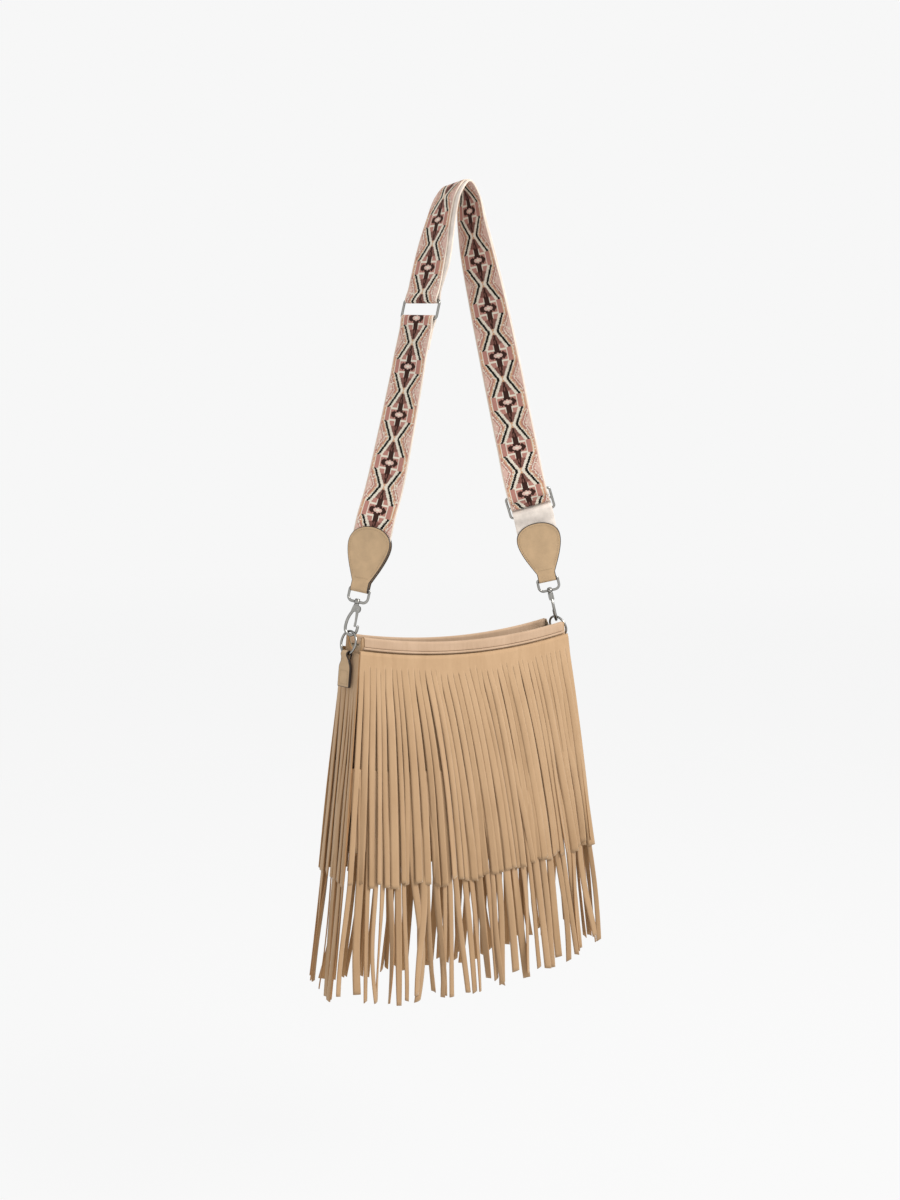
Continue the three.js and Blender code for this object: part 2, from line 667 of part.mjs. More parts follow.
function rounded(halfWidth, halfHeight, radius, shift = 0) {
  const outline = new THREE.Shape();
  const corners = [
    [1, -1, -PI / 2],
    [1, 1, 0],
    [-1, 1, PI / 2],
    [-1, -1, PI],
  ];
  for (const [x, z, start] of corners) {
    const [cx, cz] = [x * (halfWidth - radius), z * (halfHeight - radius) + shift];
    outline.absarc(cx, cz, radius, start, start + PI / 2);
  }
  return outline;
}

const WINDOW_HALF = WEBBING_WIDTH / 2 + 1.2;
const ringWindow = rounded(WINDOW_HALF, RING_PITCH - BAR, 2);
const ringFrame = rounded(WINDOW_HALF + 3.2, RING_PITCH + BAR, 4.5);
onStrapMesh('rectangular_ring', frameOf(ringFrame, [ringWindow], 2 * BAR, 0.9), RING_RUN);
const sliderSlot = (shift) => rounded(WINDOW_HALF, SLIDER_PITCH / 2 - SLIDER_BAR, 1.5, shift);
const sliderFrame = rounded(WINDOW_HALF + 3.6, SLIDER_PITCH + SLIDER_BAR, 4);
const slots = [sliderSlot(-SLIDER_PITCH / 2), sliderSlot(SLIDER_PITCH / 2)];
onStrapMesh('tri_glide', frameOf(sliderFrame, slots, 2 * SLIDER_BAR, 0.6), SLIDER);

export default bag;
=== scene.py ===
"""Fringed suede bag on a wide woven strap, hung by the strap.

Shapes are worked out in millimetres in the bag's own frame and put into meshes in metres.
+X is the bag's right end seen from the front, -Y its front, and +Z is up. The origin is the
underside of the strap where it hangs.
"""

import math

import bmesh
import bpy
import numpy as np
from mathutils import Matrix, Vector


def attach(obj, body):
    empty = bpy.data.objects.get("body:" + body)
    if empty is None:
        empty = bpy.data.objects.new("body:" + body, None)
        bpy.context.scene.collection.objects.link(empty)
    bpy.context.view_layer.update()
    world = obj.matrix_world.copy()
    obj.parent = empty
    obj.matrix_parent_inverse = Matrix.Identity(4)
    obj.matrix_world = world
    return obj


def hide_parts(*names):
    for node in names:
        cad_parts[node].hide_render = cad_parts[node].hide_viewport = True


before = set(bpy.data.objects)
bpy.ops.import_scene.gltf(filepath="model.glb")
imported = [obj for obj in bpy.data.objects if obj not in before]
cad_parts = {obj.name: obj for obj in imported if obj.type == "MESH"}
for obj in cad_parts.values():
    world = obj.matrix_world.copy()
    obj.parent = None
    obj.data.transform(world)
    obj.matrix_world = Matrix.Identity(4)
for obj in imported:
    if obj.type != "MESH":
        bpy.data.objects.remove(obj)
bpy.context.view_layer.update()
MM = 0.001

# ---- The bag's sizes, in millimetres ----
GAP = 0.3
RIM_Z = -524
RIM_HALF_LENGTH = 140.3
RIM_HALF_DEPTH = 19
RIM_DIP = 14
BODY_DROP = 250
END_FLARE = 0.08
FACE_FLARE = 0.049
FRINGE_FLARE = 0.105
SUEDE = 1.4
FRINGE_SUEDE = 1.2
LINING = 0.8
LEATHER = 1.8
BAND_DROP = 9.8
PIPING_RADIUS = 1.4
GUSSET_SCOOP = 16
BASE_Z = RIM_Z - BODY_DROP - GAP
WEBBING_WIDTH = 50
WEBBING = 1.8
LAYER = (WEBBING + 0.4) / 2
RING_RADIUS = 13.5
RING_WIRE = 1.5
RING_TURN = 12
RING_PIVOT_X = 152.6
RING_PIVOT_Z = RIM_Z - 20
LOOP_BAR = 35
LOOP_HEIGHT = 15.5
LOOP_HALF = 13
TAB_PIVOT = LOOP_BAR + LOOP_HEIGHT
TAB_DROP = 0.7
TAB_LENGTH = 74
TAB_MIDDLE = 1.5 + LEATHER / 2
TAB_HALF_NECK = 11
TAB_HALF_WIDTH = 27
HOOK_WIRE = 1.8
POLISH = 0.08  # how much thinner the smooth wires are than the faceted solids
GATE_PIN = (2.6, 0, 26.5)
QUARTER_TURNS = {"front": 0, "right": 1, "back": 2, "left": 3}
CHAINS = {
    "left": {"sign": -1, "ring_lean": 14, "lean": 14.5, "tab_turn": -54, "hook_turn": -40},
    "right": {"sign": 1, "ring_lean": 22, "lean": 15, "tab_turn": -33, "hook_turn": 62},
}


# ---- Places ----
def turning(axis, degrees):
    """The matrix that turns points about axis 0, 1 or 2."""
    c, s = math.cos(math.radians(degrees)), math.sin(math.radians(degrees))
    i, j = [(1, 2), (2, 0), (0, 1)][axis]
    matrix = np.eye(3)
    matrix[i, i] = matrix[j, j] = c
    matrix[i, j], matrix[j, i] = -s, s
    return matrix


class Place:
    """An origin and three axes. Called with points given in it, it returns them in the bag's
    frame."""

    def __init__(self, origin=(0, 0, 0), axes=None):
        self.origin = np.asarray(origin, float)
        self.axes = np.eye(3) if axes is None else np.asarray(axes)

    def __call__(self, points):
        return np.asarray(points, float) @ self.axes.T + self.origin

    def turned(self, axis, degrees):
        return Place(self.origin, self.axes @ turning(axis, degrees))

    def moved(self, shift):
        return Place(self(shift), self.axes)


def unit(vectors):
    return vectors / np.linalg.norm(vectors, axis=-1, keepdims=True)


def ease(values):
    """0 below 0, 1 above 1, and 3v^2 - 2v^3 between."""
    v = np.clip(values, 0, 1)
    return v * v * (3 - 2 * v)


# ---- Shapes: points and faces ----
def grid(points, loop_rows=False, loop_columns=False):
    """A surface over a grid of points, rows by columns; a looped side joins its end to its start.
    Its faces look along the row direction crossed with the column direction."""
    rows, columns = points.shape[:2]
    r = np.arange(rows if loop_rows else rows - 1)[:, None]
    c = np.arange(columns if loop_columns else columns - 1)[None, :]
    r2, c2 = (r + 1) % rows, (c + 1) % columns
    quads = np.stack([r * columns + c, r2 * columns + c, r2 * columns + c2, r * columns + c2], -1)
    return points.reshape(-1, 3), quads.reshape(-1, 4).tolist()


def joined(*shapes):
    points, faces, start = [], [], 0
    for some, quads in shapes:
        points.append(some)
        faces += [[start + i for i in face] for face in quads]
        start += len(some)
    return np.concatenate(points), faces


def placed(place, shape):
    return place(shape[0]), shape[1]


def capped(sections, loop=False):
    """Closed sections carried along a path, with a flat face at each end unless the path loops."""
    points, faces = grid(sections, loop_rows=loop, loop_columns=True)
    if not loop:
        rows, columns = sections.shape[:2]
        faces += [list(range(columns))[::-1], list(range((rows - 1) * columns, rows * columns))]
    return points, faces


def tube(path, wide, thick=None, up=(0, 1, 0), sides=16, loop=False):
    """An ellipse carried along a path: half-width `wide` square to `up`, and `thick` along it."""
    path = np.asarray(path, float)
    thick = wide if thick is None else thick
    step = np.roll(path, -1, 0) - np.roll(path, 1, 0) if loop else np.gradient(path, axis=0)
    along = unit(step)
    across = unit(np.cross(np.broadcast_to(up, path.shape), along))
    rise = np.cross(along, across)
    turn = np.linspace(0, 2 * math.pi, sides, endpoint=False)
    wide, thick = (np.reshape(np.broadcast_to(x, len(path)), (-1, 1, 1)) for x in (wide, thick))
    c, s = np.cos(turn)[:, None], np.sin(turn)[:, None]
    ring = across[:, None] * wide * c + rise[:, None] * thick * s
    return capped(path[:, None] + ring, loop)


def turned(profile, sides=40):
    """A profile of radius and height turned about Z."""
    profile = np.asarray(profile, float)
    turn = np.linspace(0, 2 * math.pi, sides, endpoint=False)
    x, y = profile[:, :1] * np.cos(turn), profile[:, :1] * np.sin(turn)
    return capped(np.stack([x, y, np.broadcast_to(profile[:, 1:], x.shape)], -1))


def plate(outline, low, high):
    """A flat outline in X and Z given thickness from y = low to y = high."""
    x, z = np.asarray(outline, float).T
    return capped(np.stack([np.stack([x, np.full_like(x, y), z], -1) for y in (low, high)]))


def curve_through(points, parts, even=False):
    """A centripetal Catmull-Rom curve: between two points, the cubic whose end slopes weigh the
    three nearest chords by the square root of their lengths. Its ends go straight on."""
    p = np.asarray(points, float)
    p = np.concatenate([[2 * p[0] - p[1]], p, [2 * p[-1] - p[-2]]])
    where = np.linspace(0, 1, parts + 1) * (len(points) - 1)
    i = np.minimum(where.astype(int), len(points) - 2)
    t = (where - i)[:, None]
    p0, p1, p2, p3 = p[i], p[i + 1], p[i + 2], p[i + 3]
    chords = (p1 - p0, p2 - p1, p3 - p2)
    d0, d1, d2 = (np.linalg.norm(chord, axis=1)[:, None] ** 0.5 for chord in chords)
    m1 = ((p1 - p0) / d0 - (p2 - p0) / (d0 + d1) + (p2 - p1) / d1) * d1
    m2 = ((p2 - p1) / d1 - (p3 - p1) / (d1 + d2) + (p3 - p2) / d2) * d1
    curve = p1 + t * m1 + t**2 * (3 * (p2 - p1) - 2 * m1 - m2) + t**3 * (2 * (p1 - p2) + m1 + m2)
    return evenly(curve, parts + 1) if even else curve


def runs_along(path):
    """The distance along a path at each of its points."""
    return np.concatenate([[0], np.cumsum(np.linalg.norm(np.diff(path, axis=0), axis=1))])


def evenly(path, count, loop=False):
    """The same path at evenly spaced points."""
    path = np.concatenate([path, path[:1]]) if loop else path
    run = runs_along(path)
    at = np.linspace(0, run[-1], count, endpoint=not loop)
    return np.stack([np.interp(at, run, path[:, k]) for k in range(3)], -1)


def rounded_frame(half, low, high, low_round, high_round, count=96):
    """A rectangle in the XZ plane with quarter-circle corners, at evenly spaced points."""
    quarter = np.linspace(0, math.pi / 2, 9)
    corners = [
        (half - low_round, low + low_round, low_round, -math.pi / 2),
        (half - high_round, high - high_round, high_round, 0),
        (-half + high_round, high - high_round, high_round, math.pi / 2),
        (-half + low_round, low + low_round, low_round, math.pi),
    ]
    arcs = [
        np.stack([x + r * np.cos(quarter + a), 0 * quarter, z + r * np.sin(quarter + a)], -1)
        for x, z, r, a in corners
    ]
    return evenly(np.concatenate(arcs), count, loop=True)


def stitches(middles, along, out, length=2.6, thick=0.35):
    """Threads lying on a surface: each a bead `length` long, its rings following half a sine."""
    along, out = unit(np.asarray(along, float)), unit(np.asarray(out, float))
    across = np.cross(out, along)
    swell = np.sin(np.linspace(0.12, math.pi - 0.12, 5))
    reach = np.linspace(-length / 2, length / 2, 5)
    turn = np.linspace(0, 2 * math.pi, 6, endpoint=False)
    local = np.stack(
        [
            np.repeat(reach[:, None], 6, 1),
            swell[:, None] * thick * np.cos(turn),
            swell[:, None] * thick * np.sin(turn),
        ],
        -1,
    )
    base, faces = capped(local)
    axes = np.stack([along, across, out], 1)
    points = np.einsum("mk,nkj->nmj", base, axes) + np.asarray(middles)[:, None]
    count = len(base)
    every = [[i + n * count for i in face] for n in range(len(points)) for face in faces]
    return points.reshape(-1, 3), every


def seam(path, out, pitch=4.0, **sizes):
    """Stitches every `pitch` along a path, standing on the side `out`."""
    points = evenly(path, max(2, 2 * int(runs_along(path)[-1] / pitch) + 1))
    middles, along = points[1::2], points[2::2] - points[:-1:2]
    return stitches(middles, along, np.broadcast_to(out, middles.shape), **sizes)


# ---- Pieces ----
def make(
    name, shape, body, slot, finishes, nodes=(), uv=None, tone=None, closed=True, bevel=0, sharp=40
):
    """Puts a shape into a piece that rides on a body and stands for the nodes named."""
    points, faces = shape
    mesh = bpy.data.meshes.new(name)
    mesh.from_pydata((points * MM).tolist(), [], faces)
    if uv is not None:
        corners = np.zeros(len(mesh.loops), np.int32)
        mesh.loops.foreach_get("vertex_index", corners)
        layer = mesh.uv_layers.new(name="cloth")
        layer.data.foreach_set("uv", uv[corners].astype(np.float32).ravel())
    if tone is not None:
        tones = mesh.attributes.new("tone", "FLOAT", "POINT")
        tones.data.foreach_set("value", tone.astype(np.float32))
    work = bmesh.new()
    work.from_mesh(mesh)
    bmesh.ops.remove_doubles(work, verts=work.verts, dist=0.01 * MM)
    if closed:
        bmesh.ops.recalc_face_normals(work, faces=work.faces)
    work.to_mesh(mesh)
    work.free()
    mesh.shade_smooth()
    mesh.set_sharp_from_angle(angle=math.radians(sharp))
    for finish in finishes:
        mesh.materials.append(finish)
    piece = bpy.data.objects.new(name, mesh)
    bpy.context.scene.collection.objects.link(piece)
    if bevel:
        rounding = piece.modifiers.new("rounding", "BEVEL")
        rounding.width, rounding.segments = bevel * MM, 2
        rounding.limit_method, rounding.angle_limit = "ANGLE", math.radians(sharp)
        rounding.harden_normals = True
    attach(piece, body)
    if nodes:
        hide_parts(*nodes)
    return piece


def make_sheet(name, points, thickness, body, slot, finishes, node, cut, bevel=0, **more):
    """A sheet over a grid, thickened half to each side. The finishes are its face, back and edge,
    and `cut`, which says what it was cut from and how it is held, is not used."""
    piece = make(name, grid(points), body, slot, finishes, [node], closed=False, **more)
    thicken(piece, thickness, bevel, len(finishes))


def metal(name, shape, body, node, kind="nickel", bevel=0):
    make(name, shape, body, kind, [METALS[kind]], [node], bevel=bevel)


def thicken(piece, thickness, bevel=0, sides=1):
    wall = piece.modifiers.new("thickness", "SOLIDIFY")
    wall.thickness, wall.offset = thickness * MM, 0
    wall.material_offset = 1 if sides > 2 else 0
    wall.material_offset_rim = sides - 1
    if bevel:
        edge = piece.modifiers.new("edge", "BEVEL")
        edge.width, edge.segments = bevel * MM, 2
        edge.limit_method, edge.angle_limit = "ANGLE", math.radians(60)
    return piece


# ---- Materials ----
class Wire:
    """A value in a material's nodes, so that its maths reads as Python."""

    def __init__(self, finish, socket):
        self.finish, self.socket = finish, socket

    def _with(self, operation, *values):
        return self.finish.maths(operation, *values)

    def __add__(self, other):
        return self._with("ADD", self, other)

    def __sub__(self, other):
        return self._with("SUBTRACT", self, other)

    def __rsub__(self, other):
        return self._with("SUBTRACT", other, self)

    def __mul__(self, other):
        return self._with("MULTIPLY", self, other)

    def __truediv__(self, other):
        return self._with("DIVIDE", self, other)

    __radd__ = __add__
    __rmul__ = __mul__


class Finish:
    """A node material under construction."""

    def __init__(self, name):
        self.material = bpy.data.materials.new(name)
        self.material.use_nodes = True
        self.tree = self.material.node_tree
        self.shader = self.tree.nodes["Principled BSDF"]
        self.coordinates = self.tree.nodes.new("ShaderNodeTexCoord")
        self.place = Wire(self, self.coordinates.outputs["Object"])
        self.cloth = Wire(self, self.coordinates.outputs["UV"])

    def set(self, socket, value):
        if isinstance(value, Wire):
            self.tree.links.new(value.socket, socket)
        elif hasattr(value, "__len__") and len(value) == 3 and socket.type == "RGBA":
            socket.default_value = (*value, 1)
        else:
            socket.default_value = value

    def node(self, kind, settings=(), out=0, **sockets):
        node = self.tree.nodes.new("ShaderNode" + kind)
        for key, value in dict(settings).items():
            setattr(node, key, value)
        for key, value in sockets.items():
            name = int(key[1:]) if key[1:].isdigit() else key.replace("_", " ")
            self.set(node.inputs[name], value)
        return Wire(self, node.outputs[out])

    def maths(self, operation, *values):
        sockets = {f"_{i}": value for i, value in enumerate(values)}
        return self.node("Math", {"operation": operation}, **sockets)

    def less(self, low, high):
        return self.maths("LESS_THAN", low, high)

    def both(self, *masks):
        whole = masks[0]
        for mask in masks[1:]:
            whole = whole * mask
        return whole

    def mix(self, share, first, second):
        kinds = {"data_type": "RGBA"}
        return self.node("Mix", kinds, out=2, _0=share, _6=first, _7=second)

    def stretched(self, vector, x, y, z):
        return self.node("Mapping", Vector=vector, Scale=(x, y, z))

    def noise(self, vector, scale, detail=3.0, roughness=0.5):
        return self.node("TexNoise", Vector=vector, Scale=scale, Detail=detail, Roughness=roughness)

    def between(self, value, low, high, start=0.0, end=1.0):
        return self.node("MapRange", _0=value, _1=low, _2=high, _3=start, _4=end)

    def parts(self, vector):
        split = self.node("SeparateXYZ", Vector=vector)
        node = split.socket.node
        return [Wire(self, out) for out in node.outputs]

    def bump(self, height, distance, strength=1.0):
        return self.node("Bump", Height=height, Distance=distance, Strength=strength)

    def done(self, colour, roughness, normal=None, **constants):
        inputs = self.shader.inputs
        self.set(inputs["Base Color"], colour)
        self.set(inputs["Roughness"], roughness)
        if normal is not None:
            self.set(inputs["Normal"], normal)
        for key, value in constants.items():
            self.set(inputs[key.replace("_", " ")], value)
        return self.material


def suede_finish(name, colour, depth=1.0, toned_and_shaded=False):
    """Napped suede: soft patches where the nap lies over, fine streaks down it and a short pile.
    On the fringe each strip has a tone of its own, and painted shade darkens the strips towards the
    bottom.
    """
    f = Finish(name)
    patches = f.noise(f.stretched(f.place, 1, 1, 0.45), 38, 4, 0.6)
    streaks = f.noise(f.stretched(f.place, 1, 1, 0.06), 420, 3, 0.6)
    pile = f.noise(f.place, 2600, 2, 0.7)
    shade = f.between(patches, 0.3, 0.7, 0, 0.55) + f.between(streaks, 0.3, 0.7, 0, 0.25)
    shade = shade + f.between(pile, 0.25, 0.75, 0, 0.2)
    if toned_and_shaded:
        strip = f.node("Attribute", {"attribute_name": "tone"}, out=2)
        # Painted shade: the strips get darker towards the bottom of the bag and lighter near the
        # top.
        height = f.between(f.parts(f.place)[2], -0.86, -0.56)
        shade = shade * 0.5 + strip * 0.2 + height * 0.3 - 0.04
    dark = tuple(c * (1 - drop * depth) for c, drop in zip(colour, (0.25, 0.31, 0.39)))
    light = tuple(min(1, c * (1 + 0.16 * depth)) for c in colour)
    grain = f.noise(f.stretched(f.place, 1, 1, 0.5), 900, 4, 0.65)
    height = grain * 0.6 + pile * 0.4
    return f.done(
        f.mix(shade, dark, light),
        f.between(pile, 0.2, 0.8, 0.88, 1.0),
        f.bump(height, 0.0006, 0.55),
        Sheen_Weight=0.35,
        Sheen_Roughness=0.45,
        Sheen_Tint=(1.0, 0.86, 0.68, 1),
        Specular_IOR_Level=0.12,
    )


def leather_finish(name, colour):
    """Smooth leather: fine pebbles from cell edges with painted shade in their creases, soft
    patches of tone, and a dull shine.
    """
    f = Finish(name)
    cells = f.node("TexVoronoi", {"feature": "DISTANCE_TO_EDGE"}, Vector=f.place, Scale=1500.0)
    patches = f.noise(f.place, 60, 4, 0.6)
    fine = f.noise(f.place, 3000, 2, 0.6)
    dark = tuple(c * 0.84 for c in colour)
    light = tuple(min(1, c * 1.1) for c in colour)
    # Painted shade: the creases between the pebbles are darker.
    creases = f.between(cells, 0.0, 0.12, 0, 1)
    tone = f.between(patches, 0.3, 0.7, 0.0, 0.8) + creases * 0.2
    height = creases * 0.7 + fine * 0.3
    rough = f.between(fine, 0.2, 0.8, 0.46, 0.6)
    bump = f.bump(height, 0.00015, 0.5)
    return f.done(f.mix(tone, dark, light), rough, bump, Specular_IOR_Level=0.4)


def paint_finish(name, colour):
    """Edge paint: nearly smooth, a little uneven where it was brushed on."""
    f = Finish(name)
    uneven = f.noise(f.place, 700, 3, 0.5)
    light = tuple(c * 1.7 for c in colour)
    tone = f.between(uneven, 0.35, 0.7, 0, 1)
    rough = f.between(uneven, 0.3, 0.7, 0.35, 0.5)
    return f.done(f.mix(tone, colour, light), rough, f.bump(uneven, 0.0002, 0.4))


def metal_finish(name, colour, rough):
    """Plated metal: faint smears in its shine, hair scratches and a painted dark reflection at its
    edges.
    """
    f = Finish(name)
    smears = f.noise(f.place, 160, 4, 0.6)
    scratches = f.noise(f.stretched(f.place, 1, 1, 0.08), 2400, 2, 0.5)
    dark = tuple(c * 0.82 for c in colour)
    # Painted reflection: the colour goes nearly black where the surface turns away from the view,
    # so the edges look dark.
    rim = f.node("LayerWeight", Blend=0.45, out=1)
    face = f.mix(f.between(smears, 0.35, 0.65), dark, colour)
    return f.done(
        f.mix(f.between(rim, 0.1, 0.6, 0.0, 0.92), face, (0.03, 0.028, 0.025)),
        f.between(smears, 0.3, 0.7, rough * 0.7, rough * 1.5),
        f.bump(scratches, 0.00004, 0.35),
        Metallic=1.0,
    )


def plain_weave(name, colour, pitch):
    """Plain weave: two sine waves square to each other, offset where the threads cross."""
    f = Finish(name)
    u, v, _ = f.parts(f.cloth)
    turn = 2 * math.pi / pitch
    across = f.maths("SINE", u * turn)
    along = f.maths("SINE", v * turn)
    height = across * along * 0.5 + 0.5
    patches = f.noise(f.place, 90, 4, 0.6)
    # Painted shade: the cloth is darker in the hollows between its threads, besides its soft
    # patches of tone.
    tone = f.between(patches, 0.3, 0.7, 0, 0.6) + height * 0.4
    dark = tuple(c * 0.72 for c in colour)
    light = tuple(min(1, c * 1.12) for c in colour)
    rough = f.between(height, 0, 1, 0.95, 0.82)
    return f.done(f.mix(tone, dark, light), rough, f.bump(height, 0.0003, 0.7))


def thread_finish(name, colour):
    """Twisted thread: a slanting sine along it."""
    f = Finish(name)
    x, y, z = f.parts(f.place)
    twist = f.maths("SINE", (x + y + z) * 9000) * 0.5 + 0.5
    dark = tuple(c * 0.7 for c in colour)
    rough = f.between(twist, 0, 1, 0.8, 0.65)
    # Painted shade: the thread is darker in the grooves of its twist.
    return f.done(f.mix(twist, dark, colour), rough, f.bump(twist, 0.0001, 0.6))


CREAM = (0.80, 0.73, 0.61)
ROSE = (0.50, 0.235, 0.19)
PEACH = (0.66, 0.38, 0.23)
BLUSH = (0.74, 0.50, 0.42)
MAUVE = (0.22, 0.095, 0.075)
BROWN = (0.045, 0.018, 0.013)
BLACK = (0.010, 0.009, 0.007)
MOTIF = 57.2  # length of one repeat of the woven pattern
CELL = 1.144  # one woven cell


def jacquard_finish(name):
    """The woven pattern, in steps of one cell. `a` is the distance from the strap's middle and `b`
    that from the crossing of a motif's arms. Black lines follow a = 5.4 + 0.57 b with cream arms
    inside them; a flower sits at b = 28 with petals above and below, and stripes fill the sides.
    Each layer is a mask and the colour woven over what is under it."""
    f = Finish(name)
    u, v, _ = f.parts(f.cloth)
    across = (f.maths("FLOOR", u * (WEBBING_WIDTH / CELL)) + 0.5) * CELL - WEBBING_WIDTH / 2
    along = (f.maths("FLOOR", v * (MOTIF / CELL)) + 0.5) * CELL
    a = f.maths("ABSOLUTE", across)
    b = f.maths("ABSOLUTE", f.maths("WRAP", along, MOTIF / 2, -MOTIF / 2))
    line = a - f.maths("MINIMUM", b, 21.0) * 0.57
    cell = f.node("CombineXYZ", X=across, Y=along)
    stray = f.node("TexWhiteNoise", {"noise_dimensions": "2D"}, Vector=cell)

    def within(value, low, high):
        return f.both(f.less(low, value), f.less(value, high))

    def oval(half_width, half_height):
        x, y = a / half_width, (b - MOTIF / 2) / half_height
        return f.less(x * x + y * y, 1.0)

    near, far = f.less(b, 20.8), f.less(20.8, b)
    flower = oval(11.4, 5.6)
    petal = f.maths("MINIMUM", (b - 2.0) * 0.24, 3.4)
    field = f.mix(f.less(b, 14.5), ROSE, MAUVE)
    layers = [
        (within(line, 7.3, 8.6), CREAM),
        (within(line, 13.4, 14.6), CREAM),
        (f.less(16.2, line), BLUSH),
        (f.both(within(line, -1.2, 7.0), far), ROSE),
        (f.both(within(line, 0.0, 1.3), far), CREAM),
        (f.both(within(line, 3.7, 7.3), near), BLACK),
        (f.both(within(line, 0.2, 3.9), near), CREAM),
        (f.both(f.less(line, 0.2), f.less(3.4, b)), field),
        (f.both(f.less(a, 12.5), within(b, 21.0, 22.4)), CREAM),
        (f.both(f.less(a, petal + 1.1), within(b, 15.5, 22.4)), CREAM),
        (f.both(f.less(a, petal), within(b, 3.4, 23.5)), BROWN),
        (f.both(f.less(a, 0.6), within(b, 10.0, 14.5)), MAUVE),
        (flower, BROWN),
        (f.both(within(a, 4.4, 6.4), f.less(b, MOTIF / 2 - 3.2), flower), ROSE),
        (oval(5.6, 2.9), BLUSH),
        (oval(2.6, 1.5), CREAM),
        (f.both(f.less(stray, 0.13), f.less(7.0, line)), CREAM),
        (f.less(23.2, a), BLUSH),
        (f.less(24.2, a), CREAM),
    ]
    colour = f.mix(f.less(10.8, line), PEACH, ROSE)
    for mask, over in layers:
        colour = f.mix(mask, colour, over)
    turn = 2 * math.pi
    weft = f.maths("SINE", v * (turn * MOTIF / CELL))
    warp = f.maths("SINE", u * (turn * WEBBING_WIDTH / CELL))
    height = weft * 0.3 + warp * 0.3 + 0.5
    # Painted shade: the colour darkens in the hollows between the woven ribs; then white noise
    # darkens some cells at random.
    dark = f.mix(0.5, colour, BLACK)
    shaded_and_mottled = f.mix(f.between(height, 0.0, 0.8, 0.28, 0.0), colour, dark)
    shaded_and_mottled = f.mix(f.between(stray, 0.0, 1.0, 0.0, 0.18), shaded_and_mottled, dark)
    fibre = f.noise(f.place, 1800, 2, 0.6)
    rough = f.between(fibre, 0.2, 0.8, 0.8, 0.96)
    return f.done(shaded_and_mottled, rough, f.bump(height, 0.0006, 0.6), Specular_IOR_Level=0.15)


TAN = (0.430, 0.286, 0.169)
suede = suede_finish("suede", TAN)
binding_suede = suede_finish("binding_suede", (0.452, 0.320, 0.222), 0.6)
fringe_suede = suede_finish("fringe_suede", TAN, 0.9, toned_and_shaded=True)
# The cut edges and the underside are darker and warmer than the face: partly their own colour,
# partly painted shade for the gaps between the strips.
fringe_edge_and_gap_shade = suede_finish("fringe_cut_edge", (0.37, 0.20, 0.09), 0.7)
flesh_side_and_shade = suede_finish("suede_underside_and_shade", (0.36, 0.21, 0.10), 0.8)
lining = plain_weave("lining_cloth", (0.34, 0.27, 0.18), 0.9)
leather = leather_finish("tab_leather", (0.475, 0.325, 0.185))
paint = paint_finish("edge_paint", (0.020, 0.012, 0.008))
woven = jacquard_finish("woven_pattern")
plain_back = plain_weave("webbing_back", (0.78, 0.70, 0.63), 1.6)
selvedge = plain_weave("webbing_edge", (0.66, 0.56, 0.47), 1.6)
nickel = metal_finish("nickel", (0.40, 0.39, 0.365), 0.2)
steel = metal_finish("steel", (0.5, 0.5, 0.5), 0.28)
METALS = {"nickel": nickel, "steel": steel}
tan_thread = thread_finish("tan_thread", (0.40, 0.28, 0.16))
cream_thread = thread_finish("cream_thread", (0.60, 0.53, 0.43))


# ---- The bag's walls ----
def billow(across, drop, phase):
    """How far a soft wall stands out: two slow waves that die away at the rim, corners and base."""
    free = (1 - across**2) * ease(drop / 70) * ease((BODY_DROP - drop) / 60)
    long_wave = 1.1 * np.sin(2.1 * across + phase + drop / 60)
    return free * (long_wave + 0.7 * np.sin(4.3 * across - drop / 43))


def on_wall(side, x, drop, out, half, deepen=0.0, flare=None):
    """Points of a wall: x across it, `drop` below the rim, `out` off its plane. The plane leans out
    by `flare`, and the rim sags by its dip times 1 - across^2, more or less as the drop grows."""
    on_face = side in ("front", "back")
    stand = RIM_HALF_DEPTH if on_face else RIM_HALF_LENGTH
    flare = flare or (FACE_FLARE if on_face else END_FLARE)
    across = np.clip(x / half, -1, 1)
    dip = RIM_DIP if on_face else 0
    z = RIM_Z - drop - dip * (1 - across**2) * (1 + deepen * drop)
    y = -(stand + flare * (RIM_Z - z) + out)
    y = y - billow(across, drop, QUARTER_TURNS[side])
    points = np.stack(np.broadcast_arrays(x, y, z), -1)
    return points @ turning(2, 90 * QUARTER_TURNS[side]).T


def face_half(drop):
    return RIM_HALF_LENGTH + SUEDE + END_FLARE * drop


def lining_half(drop):
    return RIM_HALF_LENGTH - GAP + END_FLARE * drop


def gusset_half(drop):
    return RIM_HALF_DEPTH - GAP + FACE_FLARE * drop


def gusset_lining_half(drop):
    return gusset_half(drop) - LINING - 2 * GAP


def wall(side, half, out, deepen=0.0, scoop=0, rows=28, columns=41):
    """A wall's middle surface, its top edge cut down by `scoop` between its corners."""
    u = np.linspace(-1, 1, columns)[None, :]
    top = scoop * (1 - u**2)
    drop = top + (BODY_DROP - top) * np.linspace(0, 1, rows)[:, None]
    return on_wall(side, u * half(drop), drop, out, half(drop), deepen)


def cloth_uv(points):
    """Distances across and along a grid of points, in millimetres, from its first corner."""
    across = np.cumsum(np.linalg.norm(np.diff(points, axis=1, prepend=points[:, :1]), axis=2), 1)
    along = np.cumsum(np.linalg.norm(np.diff(points, axis=0, prepend=points[:1]), axis=2), 0)
    return np.stack([across, along], -1).reshape(-1, 2)


DIP_FADE = -1 / BODY_DROP
SUEDE_SIDES = [suede, flesh_side_and_shade, fringe_edge_and_gap_shade]


def bag_sheet(name, points, thickness, node, cut, **more):
    """A sheet of the bag's body, suede or, where its node is a lining, lining cloth."""
    lined = node.endswith("lining")
    slot, finishes = ("lining", [lining]) if lined else ("suede", SUEDE_SIDES)
    uv = cloth_uv(points) if lined else None
    make_sheet(name, points, thickness, "bag", slot, finishes, node, cut, uv=uv, **more)


def hung(flat, on, **more):
    return {"flat": flat, "held": "hung", "rests_on": [on], **more}


